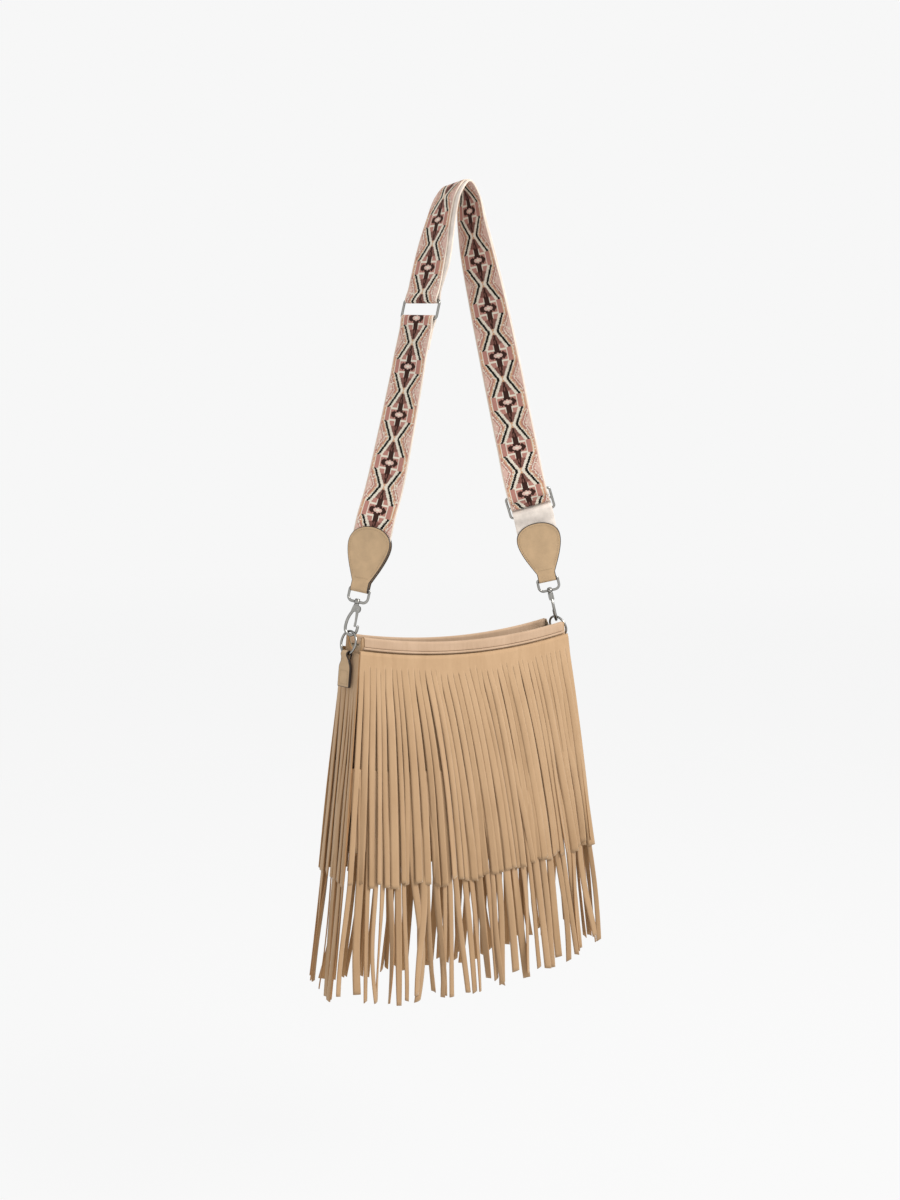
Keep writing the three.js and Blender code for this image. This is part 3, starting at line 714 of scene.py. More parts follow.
for side in ("front", "back"):
    fold = f"{side}_binding_fold"
    panel = wall(side, face_half, SUEDE / 2, DIP_FADE)
    cut = hung((0.32, 0.25), fold)
    bag_sheet(f"{side}_panel_suede", panel, SUEDE, f"{side}_panel", cut)
    cloth = wall(side, lining_half, -GAP - LINING / 2, DIP_FADE)
    cut = hung((0.31, 0.25), fold)
    bag_sheet(f"{side}_lining_cloth", cloth, LINING, f"{side}_lining", cut)
for side in ("left", "right"):
    panel = wall(side, gusset_half, SUEDE / 2, scoop=GUSSET_SCOOP, columns=17)
    cut = hung((0.062, 0.25), "front_panel_suede", area=0.0115)
    bag_sheet(f"{side}_gusset_suede", panel, SUEDE, f"{side}_gusset", cut)
    cloth = wall(side, gusset_lining_half, -GAP - LINING / 2, scoop=GUSSET_SCOOP, columns=17)
    cut = hung((0.059, 0.25), "front_lining_cloth", area=0.0108)
    bag_sheet(f"{side}_lining_cloth", cloth, LINING, f"{side}_lining", cut)


def floor_of_bag(half_length, half_depth, z, sag):
    """The base: a rectangle whose middle sags by `sag` times (1 - x^2)(1 - y^2)."""
    u, v = np.meshgrid(np.linspace(-1, 1, 41), np.linspace(-1, 1, 13))
    return np.stack([u * half_length, v * half_depth, z - sag * (1 - u**2) * (1 - v**2)], -1)


BASE_BOARD = 2.4
BASE_MARGIN = 3
BASE_SAG, BASE_LINING_SAG = 2.0, 1.2
BASE_LINING_RISE = 1.9
half_length = RIM_HALF_LENGTH + END_FLARE * BODY_DROP
half_depth = RIM_HALF_DEPTH + FACE_FLARE * BODY_DROP
base = floor_of_bag(half_length, half_depth, BASE_Z - BASE_BOARD / 2, BASE_SAG)[:, ::-1]
bag_sheet("base_suede", base, BASE_BOARD, "base_panel", hung((0.321, 0.063), "front_panel_suede"))
half_length, half_depth = half_length - BASE_MARGIN, half_depth - BASE_MARGIN
base = floor_of_bag(half_length, half_depth, BASE_Z + BASE_LINING_RISE, BASE_LINING_SAG)[:, ::-1]
cut = {"flat": (0.315, 0.057), "held": "laid", "rests_on": ["base_suede"]}
bag_sheet("base_lining_cloth", base, LINING, "base_lining", cut)


# ---- The mouth: a folded strip over each long edge and a piped seam under it ----
def binding_fold(side):
    """The fold's middle surface: up the inside, half a turn over the rim, and down the outside."""
    inner = -(LINING + 2 * GAP + FRINGE_SUEDE / 2)
    outer = SUEDE + GAP + FRINGE_SUEDE / 2
    radius, middle = (outer - inner) / 2, (outer + inner) / 2
    turn = np.linspace(math.pi, 0, 11)
    crown = radius - GAP - FRINGE_SUEDE / 2
    leaf = np.linspace(BAND_DROP, crown + 0.8, 6)
    out = np.concatenate([np.full(6, inner), middle + radius * np.cos(turn), np.full(6, outer)])
    drop = np.concatenate([leaf, crown - radius * np.sin(turn), leaf[::-1]])
    x = np.linspace(-1, 1, 61)[None, :] * (RIM_HALF_LENGTH - LINING - 2 * GAP)
    swell = 0.25 * np.sin(x / 17.0) * np.sin(math.pi * np.clip(drop / BAND_DROP, 0, 1))[:, None]
    out = out[:, None] + swell * (out[:, None] > middle)
    return on_wall(side, x, drop[:, None], out, face_half(0))


def along_rim(side, out, drop, half, count=121):
    x = np.linspace(-half, half, count)
    return on_wall(side, x, np.full(count, float(drop)), out, face_half(0))


STITCH_RISE = 2.2  # from the fold's lower edge to its stitches
BINDING_SIDES = [binding_suede, flesh_side_and_shade, fringe_edge_and_gap_shade]
for side in ("front", "back"):
    cut = {"flat": (0.278, 0.0265), "held": "folded", "rests_on": [f"{side}_panel_suede"]}
    name, node = f"{side}_binding_fold", f"{side}_binding"
    fold = binding_fold(side)
    make_sheet(name, fold, FRINGE_SUEDE, "bag", "suede", BINDING_SIDES, node, cut, bevel=0.25)
    out = SUEDE + GAP + PIPING_RADIUS
    cord = along_rim(side, out, BAND_DROP + GAP + PIPING_RADIUS, RIM_HALF_LENGTH)
    cord = tube(cord, PIPING_RADIUS)
    make(f"{side}_piping_cord", cord, "bag", "suede", [binding_suede], [f"{side}_piping"])
    toward = turning(2, 90 * QUARTER_TURNS[side]) @ (0, 1, 0)
    out = -(LINING + 2 * GAP + FRINGE_SUEDE)
    inside = along_rim(side, out, BAND_DROP - STITCH_RISE, RIM_HALF_LENGTH - 4)
    make(f"{side}_binding_stitches", seam(inside, toward), "bag", "suede", [tan_thread])


# ---- Fringe ----
# How far the strips have swung along each wall by their tips, the share of that across it, and
# how much of the swing starts at the same height for all of them.
SWING_TOGETHER = 0.72
FREE_SPREAD = 34  # how much further down than the first the last strip comes free
LETTING_GO = 45  # the drop over which a strip goes from held to free
CURLED_BY = 100  # the most that a strip twists, in degrees
FIRST_SEED = 11
DRIFT = {"front": 44, "back": -10, "left": 0, "right": 3}
DRIFT_AT = [-1, -0.8, -0.4, 0, 0.4, 0.7, 1]
DRIFT_SHARE = [0.08, 0.35, 0.9, 1, 0.85, 0.65, 0.15]


def comb(side, top, count, tip, out, loose, filled, widens, start, seed):
    """A sheet of suede cut into strips. A strip has a middle and a half-width as shares of the
    wall's half-width. It hangs with the wall down to where it comes free; below that its width
    grows with the wall by the share `widens` and shrinks to the share `filled`, and it sways by a
    power of the free length, twists about its own middle and curls at its end."""
    dice = np.random.default_rng(seed)
    on_face = side in ("front", "back")
    stand = RIM_HALF_LENGTH if on_face else RIM_HALF_DEPTH
    widen = FRINGE_FLARE if on_face else FACE_FLARE

    def half(drop):
        return stand + out - GAP + widen * drop

    widths = dice.uniform(0.72, 1.28, count)
    edges = np.concatenate([[-1], -1 + 2 * np.cumsum(widths) / widths.sum()])
    middle = ((edges[1:] + edges[:-1]) / 2)[:, None, None]
    share = ((edges[1:] - edges[:-1]) / 2)[:, None, None]

    def roll(low, high):
        return dice.uniform(low, high, count)[:, None, None]

    def lean(spread):
        return dice.normal(0, spread, count)[:, None, None]

    begin = top + start + FREE_SPREAD * roll(0, 1) ** 1.4
    rows = np.linspace(0, 1, 58 if on_face else 50)[None, :, None]
    drop = top + (tip - top) * rows
    u = np.linspace(-1, 1, 5)[None, None, :]
    free = np.clip((drop - begin) / (tip - begin), 0, 1)
    soon = ease((drop - begin) / LETTING_GO)
    length = drop + lean(2.2 * loose) * free**2 + roll(-1, 1) * 1.5 * u * free**8
    held = np.minimum(drop, begin + np.maximum(drop - begin, 0) * widens)
    wide = share * half(held) * (1 - (1 - filled) * soon) - 0.05 * soon
    drift = DRIFT[side] / loose * np.interp(middle, DRIFT_AT, DRIFT_SHARE)
    together = np.clip((drop - top - start) / (tip - top - start), 0, 1)
    swung = SWING_TOGETHER * together + (1 - SWING_TOGETHER) * free
    sway = drift * swung * (1.5 - 0.5 * swung) + lean(1.8 * loose) * free**1.5
    sway = sway + lean(1.5 * loose**1.25) * free * np.sin(free * roll(2, 6) + roll(0, 6))
    twist = lean(15 * loose) * free**1.3 + lean(8 * loose) * free * np.sin(free * 4 + roll(0, 6))
    twist = np.radians(np.clip(twist + 5 * soon, -CURLED_BY, CURLED_BY))
    layer = np.where(np.arange(count) % 2, 0.3, -0.1)[:, None, None] + roll(-0.25, 0.4)
    off = layer * soon + roll(-0.4, 2.4) * loose * free**3
    off = off + roll(0.1, 0.7) * soon * np.sin(free * roll(3, 7) + roll(0, 6))
    cup = (0.55 + lean(0.35)) * soon * (1 - u**2)
    x = middle * half(drop) + sway + u * wide * np.cos(twist) + cup * np.sin(twist)
    stand_off = out + np.maximum(off, -0.4) + u * wide * np.sin(twist) + cup * np.cos(twist)
    x, stand_off, length = np.broadcast_arrays(x, stand_off, length)
    flare = None if on_face else FRINGE_FLARE
    points = on_wall(side, x, length, stand_off, half(drop), 1 / 710, flare)
    strips, height, columns = points.shape[:3]
    shape = joined(*[grid(strip) for strip in points])
    tone = np.repeat(dice.uniform(0, 1, strips), height * columns)
    return shape, tone


UPPER_TOP, UPPER_TIP = 14.2, 284
LOWER_TOP, LOWER_TIP = 150, 420
LOWER_OUT = SUEDE + GAP + FRINGE_SUEDE / 2
UPPER_OUT = LOWER_OUT + FRINGE_SUEDE + GAP
FRINGE_SIDES = [fringe_suede, flesh_side_and_shade, fringe_edge_and_gap_shade]
# A tier's tip, stand-off, looseness, share filled, share widened and where its cuts start.
TIERS = {
    "upper": (UPPER_TIP, UPPER_OUT, 1.0, 1.0, 0.7, 18),
    "lower": (LOWER_TIP, LOWER_OUT, 2.3, 0.78, 0, 22),
}
# By tier and whether it is on a face: its top, how many strips, and the sheet that they are cut
# from, as a width, a length and an area.
FRINGES = {
    ("upper", True): (UPPER_TOP, 40, (0.345, 0.270), 0.0855),
    ("lower", True): (LOWER_TOP, 34, (0.325, 0.270), 0.0720),
    ("upper", False): (GUSSET_SCOOP + 2, 6, (0.070, 0.268), 0.0150),
    ("lower", False): (LOWER_TOP, 6, (0.060, 0.270), 0.0140),
}
for index, side in enumerate(("front", "back", "left", "right")):
    on_face = index < 2
    under = f"{side}_panel_suede" if on_face else f"{side}_gusset_suede"
    for tier in ("upper", "lower"):
        top, count, flat, area = FRINGES[tier, on_face]
        seed = FIRST_SEED + index * 2 + (tier == "lower")
        shape, tone = comb(side, top, count, *TIERS[tier], seed)
        node = f"{side}_{tier}_fringe"
        name = node + "_strips"
        piece = make(
            name, shape, "bag", "fringe_suede", FRINGE_SIDES, [node], tone=tone, closed=False
        )
        thicken(piece, FRINGE_SUEDE, sides=3)

# ---- Magnetic snap ----
SNAP_DROP = 26


def snap_place(side):
    """Z points into the bag, from the lining's face."""
    drop, out = np.full(1, float(SNAP_DROP)), -(LINING + 2 * GAP)
    at = on_wall(side, np.zeros(1), drop, out, face_half(0), DIP_FADE)[0]
    into = turning(2, 90 * QUARTER_TURNS[side]) @ (0, 1, 0)
    return Place(at, np.stack([np.cross((0, 0, 1.0), into), (0, 0, 1.0), into], 1))


socket = [(9, 0), (9, 1.7), (8.4, 2.3), (5.2, 2.4), (4.2, 2.1), (3.6, 1.6), (3.6, 0.8), (0, 0.8)]
stud = [(9, 0), (9, 0.9), (8.4, 1.4), (3.4, 1.4), (3, 1.6), (3, 2.8), (2.5, 3.2), (0, 3.2)]
for side, name, profile in (("back", "snap_socket", socket), ("front", "snap_stud", stud)):
    shape = placed(snap_place(side), turned([(0, 0), *profile]))
    metal(name + "_metal", shape, "bag", name, bevel=0.15)


# ---- Rings, their leather tabs and the hooks' chains ----
def chain_places(side):
    """The places of a side's ring tab, ring, hook and end tab, each given in the one before."""
    chain = CHAINS[side]
    sign, lean = chain["sign"], math.radians(chain["ring_lean"])
    aside = 2 * RING_RADIUS * math.sin(lean) * math.sin(math.radians(RING_TURN))
    holder = Place((sign * RING_PIVOT_X, sign * aside, RING_PIVOT_Z))
    holder = holder.turned(2, RING_TURN + (180 if side == "left" else 0))
    ring = holder.turned(1, -chain["ring_lean"])
    line = Place(ring((0, 0, 2 * RING_RADIUS))).turned(1, -sign * chain["lean"])
    return holder, ring, line.turned(2, chain["hook_turn"]), line.turned(2, chain["tab_turn"])


RING_TAB_LEATHER = 1.6
TAB_FOLD = RING_WIRE + 4 * GAP + RING_TAB_LEATHER / 2
TAB_LEAF = (RING_TAB_LEATHER + GAP) / 2


def ring_tab_line():
    """The ring tab's middle line and half-width: up the inner leaf, round the ring and down."""
    drops = np.array([38, 33, 28, 24, 21, 18, 15.5, 13, 11, 9, 7.5, 6])
    angle = np.radians(205 - 230 * np.linspace(0, 1, 25))
    fold = np.stack([TAB_FOLD * np.cos(angle), TAB_FOLD * np.sin(angle)], -1)
    inner = np.stack([np.full(12, -TAB_LEAF), -drops], -1)
    outer = np.stack([np.full(12, TAB_LEAF), -drops], -1)[::-1]
    out, up = np.concatenate([inner, fold, outer]).T
    lean = -math.atan(FRINGE_FLARE) * np.clip(-up / 8, 0, 1)
    c, s = np.cos(lean), np.sin(lean)
    line = np.stack([out * c + up * s, up * c - out * s], -1)
    return line, 5 + 5 * ease((-up - 3) / 13)


def ring_tab():
    line, half = ring_tab_line()
    u = np.linspace(-1, 1, 13)
    x, z = (np.repeat(line[:, k : k + 1], 13, 1) for k in (0, 1))
    return np.stack([x, half[:, None] * u, z], -1)


def ring_tab_seam():
    """A box of stitches on the outer leaf."""
    line, _ = ring_tab_line()
    z = np.array([-34.5, -19])
    x = np.interp(z, line[-12:, 1][::-1], line[-12:, 0][::-1]) + RING_TAB_LEATHER / 2 + 0.15
    (x0, x1), (z0, z1) = x, z
    low, high = 7.4, 7.4 * 0.9
    box = [(x1, -high, z1), (x0, -low, z0), (x0, low, z0), (x1, high, z1), (x1, -high, z1)]
    box = np.array(box)
    thread = {"pitch": 2.6, "length": 1.9, "thick": 0.28}
    return joined(*[seam(box[i : i + 2], (1, 0, 0.1), **thread) for i in range(4)])


def hook_body():
    """The wire's bowl swept on a curve, a forked head round the gate's eye, and a turned stem."""
    low = -(RING_WIRE + 1.2 + HOOK_WIRE)
    bends = [(-2, 25), (-5.6, 17), (-7.3, 7.5), (-6, -0.8), (0, low), (6, -0.8), (7.3, 8.2)]
    path = curve_through([(x, 0, z) for x, z in bends], 60, even=True)
    wire = np.full(len(path), HOOK_WIRE - POLISH)
    wire[-4:] = HOOK_WIRE * np.array([0.98, 0.93, 0.8, 0.55])
    nape = [(-4.4, 23), (-3.6, 27.5), (-2.6, 31)]
    head = nape + [(3.4, 31), (5.4, 29.6), (6, 27.2), (6, 25), (4.6, 22.8)]
    bridge = nape + [(3, 31), (1.6, 30.2), (-1.9, 29.8), (-2.3, 24)]
    stem = [(0, 30.2), (2.8, 30.2), (3.0, 31.2), (2.8, 32.8), (1.7, 33.2), (1.7, 36.9)]
    stem += [(2.9, 37), (3.1, 37.8), (2.4, 38.6), (0, 38.8)]
    plates = [plate(head, 1.5, 3.2), plate(head, -3.2, -1.5), plate(bridge, -1.55, 1.55)]
    return joined(tube(path, wire, up=(0, 1, 0)), turned(stem, 32), *plates)


def hook_gate():
    x, _, z = GATE_PIN
    tip = [(2.2, 6.3), (2.9, 5.6), (4.2, 5.6), (4.9, 6.3)]
    bar = [(x - 1.7, z), (2.35, 12), *tip, (4.6, 12), (x + 1.7, z)]
    eye = turned([(0, -1.2), (2.6, -1.2), (2.6, 0.0), (0, 0.0)], 28)
    return joined(plate(bar, -1.2, 1.2), placed(Place((x, 0, z)).turned(0, 90), eye))


def gate_spring():
    """A wire on a helix round the pin."""
    turn = np.linspace(0, 5.5 * math.pi, 90)
    x, _, z = GATE_PIN
    rise = 0.28 + 0.8 * turn / turn[-1]
    coil = np.stack([x + 1.5 * np.cos(turn), rise, z + 1.5 * np.sin(turn)], -1)
    return tube(coil, 0.16, sides=8)


def hook_loop():
    """A bar bent to a frame, with a barrel that the hook's stem turns in."""
    frame_line = rounded_frame(LOOP_HALF, 0, LOOP_HEIGHT, 5.9, 2.2)
    barrel = [(1.9, -1.9), (3.2, -1.9), (3.7, -1.2), (3.7, 1.2), (3.2, 1.9), (1.9, 1.9)]
    turn = turned(barrel, 32)
    bar = tube(frame_line, 1.6, 1.25, up=(0, 1, 0), loop=True)
    return placed(Place((0, 0, LOOP_BAR)), joined(bar, turn))


def tab_outline():
    """The end tab's half-width and height from the round end down to the fold: two Bezier arcs."""
    t = np.linspace(0, 1, 23)[:, None]

    def arc(*corners):
        shares = ((1 - t) ** 3, 3 * t * (1 - t) ** 2, 3 * t**2 * (1 - t), t**3)
        return sum(share * np.array(corner, float) for share, corner in zip(shares, corners))

    neck, wide, long = TAB_HALF_NECK, TAB_HALF_WIDTH, TAB_LENGTH
    end = arc((0, long), (15.5, long), (wide, 66), (wide, 53))
    side = arc((wide, 53), (wide, 38), (13.5, 15), (neck, 9))[1:]
    return np.concatenate([end, side, [(neck, 6.5), (neck, 4), (neck, 2)]])


TAB_BASE = TAB_PIVOT - TAB_DROP


def tab_stand(height):
    """How far a leaf's middle is from the webbing's middle: less once it is past the bar."""
    return TAB_MIDDLE - 0.25 * ease((height - 8) / 14)


def end_tab():
    half, height = tab_outline().T
    turn = np.linspace(0, math.pi, 17)
    y = np.concatenate([-tab_stand(height), -TAB_MIDDLE * np.cos(turn), tab_stand(height)[::-1]])
    z = np.concatenate([height, -TAB_MIDDLE * np.sin(turn), height[::-1]])
    half = np.concatenate([half, np.full(17, TAB_HALF_NECK), half[::-1]])
    u = np.sin(np.linspace(-math.pi / 2, math.pi / 2, 19))
    y, z = (np.repeat(v[:, None], 19, 1) for v in (y, z + TAB_BASE))
    return np.stack([half[:, None] * u, y, z], -1)


def end_tab_seams():
    """A line of stitches inside each leaf's edge and one across its neck."""
    half, height = tab_outline().T
    inset = np.stack([half, height], -1)
    slope = unit(np.gradient(inset, axis=0))
    inner = inset + 2.6 * np.stack([slope[:, 1], -slope[:, 0]], -1)
    keep = (inner[:, 0] > 0.2) & (inner[:, 1] > 15.5)
    side = np.concatenate([[(0, TAB_LENGTH - 2.6)], inner[keep]])
    both = np.concatenate([side[::-1], side[1:] * (-1, 1)])
    neck = np.array([(-TAB_HALF_NECK + 1.6, 13.4), (TAB_HALF_NECK - 1.6, 13.4)])
    seams = []
    for face in (-1, 1):
        for line in (both, neck):
            y = face * (tab_stand(line[:, 1]) + LEATHER / 2 + 0.1)
            path = np.stack([line[:, 0], y, line[:, 1] + TAB_BASE], -1)
            seams.append(seam(path, (0, face, 0), pitch=3.0, length=2.2, thick=0.28))
    return joined(*seams)


def bead(path, up, thick):
    """Edge paint standing a little proud of a leather edge."""
    return tube(path, 0.62, thick / 2 + 0.14, up=up, sides=10)


def end_tab_paint():
    half, height = tab_outline().T
    up = (0, 1, 0)
    both = np.concatenate([np.stack([-half, height], -1)[::-1], np.stack([half, height], -1)[1:]])
    beads = []
    for face in (-1, 1):
        path = np.stack([both[:, 0], face * tab_stand(both[:, 1]), both[:, 1] + TAB_BASE], -1)
        beads.append(bead(path, up, LEATHER))
    turn = np.linspace(0, math.pi, 17)
    for edge in (-TAB_HALF_NECK, TAB_HALF_NECK):
        y, z = -TAB_MIDDLE * np.cos(turn), TAB_BASE - TAB_MIDDLE * np.sin(turn)
        path = np.stack([0 * turn + edge, y, z], -1)
        ends = [path[:1] + (0, 0, 2.2), path, path[-1:] + (0, 0, 2.2)]
        beads.append(tube(np.concatenate(ends), LEATHER / 2 + 0.14, 0.62, up=(1, 0, 0), sides=10))
    return joined(*beads)


def ring_tab_paint():
    line, half = ring_tab_line()
    beads = []
    for edge in (-1, 1):
        path = np.stack([line[:, 0], edge * half, line[:, 1]], -1)
        beads.append(tube(path, RING_TAB_LEATHER / 2 + 0.12, 0.55, up=(0, 1, 0), sides=10))
    for row in (0, -1):
        x, z = line[row]
        path = np.stack([np.full(9, x), np.linspace(-half[row], half[row], 9), np.full(9, z)], -1)
        beads.append(tube(path, RING_TAB_LEATHER / 2 + 0.12, 0.55, up=(0, 0, 1), sides=10))
    return joined(*beads)


def leather_tab(name, place, points, thickness, body, bevel, seams, paints, cut):
    """A leather piece with its stitches and the paint on its edges."""
    slot, sides = "smooth_leather", [leather, paint]
    make_sheet(name + "_leather", place(points), thickness, body, slot, sides, name, cut, bevel)
    make(name + "_stitches", placed(place, seams), body, slot, [tan_thread])
    make(name + "_paint", placed(place, paints), body, slot, [paint])


def folded(flat, area, on):
    return {"flat": flat, "area": area, "held": "folded", "rests_on": [on]}


webbing_ends = {}
for side in ("left", "right"):
    holder, ring, hook, tab = chain_places(side)
    cut = folded((0.02, 0.093), 0.00147, f"{side}_ring_metal")
    form = (ring_tab(), RING_TAB_LEATHER, "bag", 0.25, ring_tab_seam(), ring_tab_paint(), cut)
    leather_tab(f"{side}_ring_tab", holder, *form)
    turn = np.linspace(0, 2 * math.pi, 72, endpoint=False)
    circle = np.stack([0 * turn, np.sin(turn), 1 - np.cos(turn)], -1) * RING_RADIUS
    wire = tube(ring(circle), RING_WIRE - POLISH, up=ring.axes[:, 0], loop=True)
    metal(f"{side}_ring_metal", wire, f"{side}_ring", f"{side}_ring")
    body = f"{side}_hook"
    bowl = placed(hook, hook_body())
    metal(f"{side}_hook_body_metal", bowl, body, f"{side}_hook_body", bevel=0.35)
    pin = turned([(0, -3.25), (0.7, -3.25), (0.85, -3.1), (0.85, 3.1), (0.7, 3.25), (0, 3.25)], 20)
    pin = placed(hook.moved(GATE_PIN).turned(0, 90), pin)
    metal(f"{side}_gate_pin_metal", pin, body, f"{side}_gate_pin", "steel")
    spring = placed(hook, gate_spring())
    metal(f"{side}_gate_spring_wire", spring, body, f"{side}_gate_spring", "steel")
    gate = placed(hook, hook_gate())
    metal(f"{side}_hook_gate_metal", gate, f"{side}_gate", f"{side}_hook_gate", bevel=0.3)
    loop = placed(tab, hook_loop())
    metal(f"{side}_hook_loop_metal", loop, f"{side}_loop", f"{side}_hook_loop", bevel=0.2)
    cut = folded((0.054, 0.157), 0.00577, f"{side}_hook_loop_metal")
    form = (end_tab(), LEATHER, "strap", 0.3, end_tab_seams(), end_tab_paint(), cut)
    leather_tab(f"{side}_end_tab", tab, *form)
    along, width = tab.axes[:, 2], tab.axes[:, 0]
    flat = width - along * width[2] / along[2]
    ups = TAB_PIVOT + TAB_LENGTH + np.array([-26, -13, 0, 12])
    at = tab(np.stack([0 * ups, 0 * ups, ups], -1))
    facing = np.full(4, math.atan2(flat[1], flat[0]))
    webbing_ends[side] = np.stack([at[:, 0], facing, at[:, 2]], -1)

# ---- The strap ----
# Its middle line from the right end tab over the top to the left one: x, z and how far the strap's
# width has turned from lying along -Y, in degrees.
TOP_X = -3
MIDDLE_LINE = [
    (97.5, -358, 54), (78, -285, 46), (57, -200, 40), (38, -125, 30), (25, -75, 20),
    (17, -40, 9), (10, -12, 2), (TOP_X, LAYER + WEBBING / 2, 0), (-17, -12, 1), (-27, -40, 6),
    (-37, -80, 16), (-50, -135, 19), (-68, -210, 22), (-86, -290, 29), (-102, -355, 35),
]
middle_line = np.array([(x, math.radians(degrees - 90), z) for x, z, degrees in MIDDLE_LINE])
spine_points = np.concatenate([webbing_ends["right"], middle_line, webbing_ends["left"][::-1]])
spine_runs = runs_along(curve_through(spine_points, 200))
fine_spine = curve_through(spine_points, 4400)
SPINE_LENGTH = spine_runs[-1]


def spine_at(runs):
    """The middle line's x, the turn of the width and z, at distances along it."""
    share = np.interp(runs, spine_runs, np.linspace(0, 1, 201))
    shares = np.linspace(0, 1, 4401)
    return np.stack([np.interp(share, shares, fine_spine[:, k]) for k in range(3)], -1)


def on_strap(runs, out=0.0, aside=0.0):
    """Points `out` off the strap's middle line to its outer side and `aside` along its width, with
    the width's direction, the strap's direction and its normal there."""
    runs = np.atleast_1d(np.asarray(runs, float))
    here, before, after = spine_at(runs), spine_at(runs - 1), spine_at(runs + 1)
    along = unit((after - before) * (1, 0, 1))
    flat = np.stack([np.cos(here[:, 1]), np.sin(here[:, 1]), 0 * runs], -1)
    width = unit(flat - along * (flat * along).sum(1, keepdims=True))
    normal = np.cross(along, width)
    at = here * (1, 0, 1) + normal * np.reshape(out, (-1, 1)) + width * np.reshape(aside, (-1, 1))
    return at, width, along, normal


def stepped(pairs):
    """A value that eases from each [run, value] pair to the next."""
    runs, values = np.array(pairs, float).T

    def value(run):
        i = np.clip(np.searchsorted(runs, run) - 1, 0, len(runs) - 2)
        share = ease((run - runs[i]) / (runs[i + 1] - runs[i]))
        return values[i] + (values[i + 1] - values[i]) * share

    return value


def strap_run(start, end, out, aside=None, pitch=5.0):
    runs = np.linspace(start, end, int(abs(end - start) / pitch) + 2)
    shift = aside(runs) if aside else 0 * runs
    return on_strap(runs, out(runs), shift)[:2]


def wrap(run, radius, towards, start_outer):
    """Half a turn round a bar, from the strap's outer side to its inner one, or the reverse."""
    at, width, along, normal = on_strap(run)
    turn = math.pi * (np.arange(13) + 0.5)[:, None] / 13
    side = radius * np.cos(turn) * (1 if start_outer else -1)
    points = at + normal * side + along * towards * radius * np.sin(turn)
    return points, np.broadcast_to(width, points.shape)


def ribbon(phase, *stretches):
    """The grid of a webbing's middle surface, with its place in the weave as a UV map that starts
    `phase` of the way into a motif."""
    at, width = (np.concatenate([s[k] for s in stretches]) for k in (0, 1))
    u = np.linspace(-1, 1, 13)
    points = at[:, None] + width[:, None] * u[:, None] * (WEBBING_WIDTH / 2)
    run = runs_along(at)
    uv = np.stack(np.broadcast_arrays((u + 1) / 2, run[:, None] / MOTIF + phase), -1)
    return points, uv.reshape(-1, 2), run[-1]


BAR = 1.6
WRAP = BAR + 1.7 * GAP + WEBBING / 2
PLY = WEBBING + 0.4
SLIDER = 52
SLIDER_PITCH = 13
SLIDER_BAR = 1.2
SHORT_RUN = 286
RING_RUN = SPINE_LENGTH - SHORT_RUN
RING_PITCH = 10.8
HOLD = 2.2
FINE = 1.2
FIRST, THIRD = SLIDER - SLIDER_PITCH, SLIDER + SLIDER_PITCH
UPPER_BAR, LOWER_BAR = RING_RUN - RING_PITCH, RING_RUN + RING_PITCH
# The long webbing's offset off the middle line on its way out, over the slider's outer bars and
# under its middle one, and on its way back to the slider, and the sewn tail's.
outward = stepped(
    [
        (0, 0), (FIRST - 14, 0), (FIRST - HOLD, -WRAP), (FIRST + HOLD, -WRAP),
        (SLIDER - HOLD, WRAP + PLY), (SLIDER + HOLD, WRAP + PLY),
        (THIRD - HOLD, -WRAP), (THIRD + HOLD, -WRAP), (THIRD + 50, LAYER),
        (UPPER_BAR - 14, LAYER), (UPPER_BAR, WRAP),
    ]
)
inward = stepped(
    [
        (SLIDER + HOLD, -WRAP), (THIRD - HOLD, -WRAP - 2 * PLY),
        (THIRD + 20, -WRAP - 2 * PLY + 1), (THIRD + 60, -LAYER),
        (UPPER_BAR - 14, -LAYER), (UPPER_BAR, -WRAP),
    ]
)
tail = stepped(
    [(SLIDER + HOLD, WRAP), (THIRD - HOLD, -WRAP - PLY), (THIRD + 20, -WRAP - PLY + 0.8)]
)
half_way = SPINE_LENGTH / 2
aside = stepped([(half_way - 60, 0), (half_way + 20, 7), (RING_RUN - 60, 6), (UPPER_BAR - 4, 0)])
short_out = stepped(
    [(LOWER_BAR, WRAP), (LOWER_BAR + 14, LAYER), (LOWER_BAR + 44, LAYER), (LOWER_BAR + 70, 0)]
)
short_tail = stepped([(LOWER_BAR, -WRAP), (LOWER_BAR + 14, -LAYER)])
LONG_PHASE, SHORT_PHASE = 0.62, -0.31  # how far into a motif each webbing starts
long_webbing = ribbon(
    LONG_PHASE,
    strap_run(0, THIRD + 4, outward, pitch=FINE),
    strap_run(THIRD + 6, UPPER_BAR, outward),
    wrap(UPPER_BAR, WRAP, 1, True),
    strap_run(UPPER_BAR, THIRD + 30, inward, aside),
    strap_run(THIRD + 28, SLIDER, inward, pitch=FINE),
    wrap(SLIDER, WRAP, -1, False),
    strap_run(SLIDER, THIRD + 16, tail, pitch=FINE),
)
short_webbing = ribbon(
    SHORT_PHASE,
    strap_run(LOWER_BAR + 36, LOWER_BAR, short_tail),
    wrap(LOWER_BAR, WRAP, -1, False),
    strap_run(LOWER_BAR, SPINE_LENGTH, short_out),
)
WEB_SIDES = [woven, plain_back, selvedge]
for node, (points, uv, length), under in (
    ("long_webbing", long_webbing, "tri_glide_metal"),
    ("short_webbing", short_webbing, "rectangular_ring_metal"),
):
    cut = hung((WEBBING_WIDTH * MM, round(length) * MM), under)
    form = (points, WEBBING, "strap", "webbing", WEB_SIDES, node, cut)
    make_sheet(node + "_weave", *form, bevel=0.3, uv=uv)


def strap_place(run):
    at, width, along, normal = (v[0] for v in on_strap(run))
    return Place(at, np.stack([width, normal, along], 1))


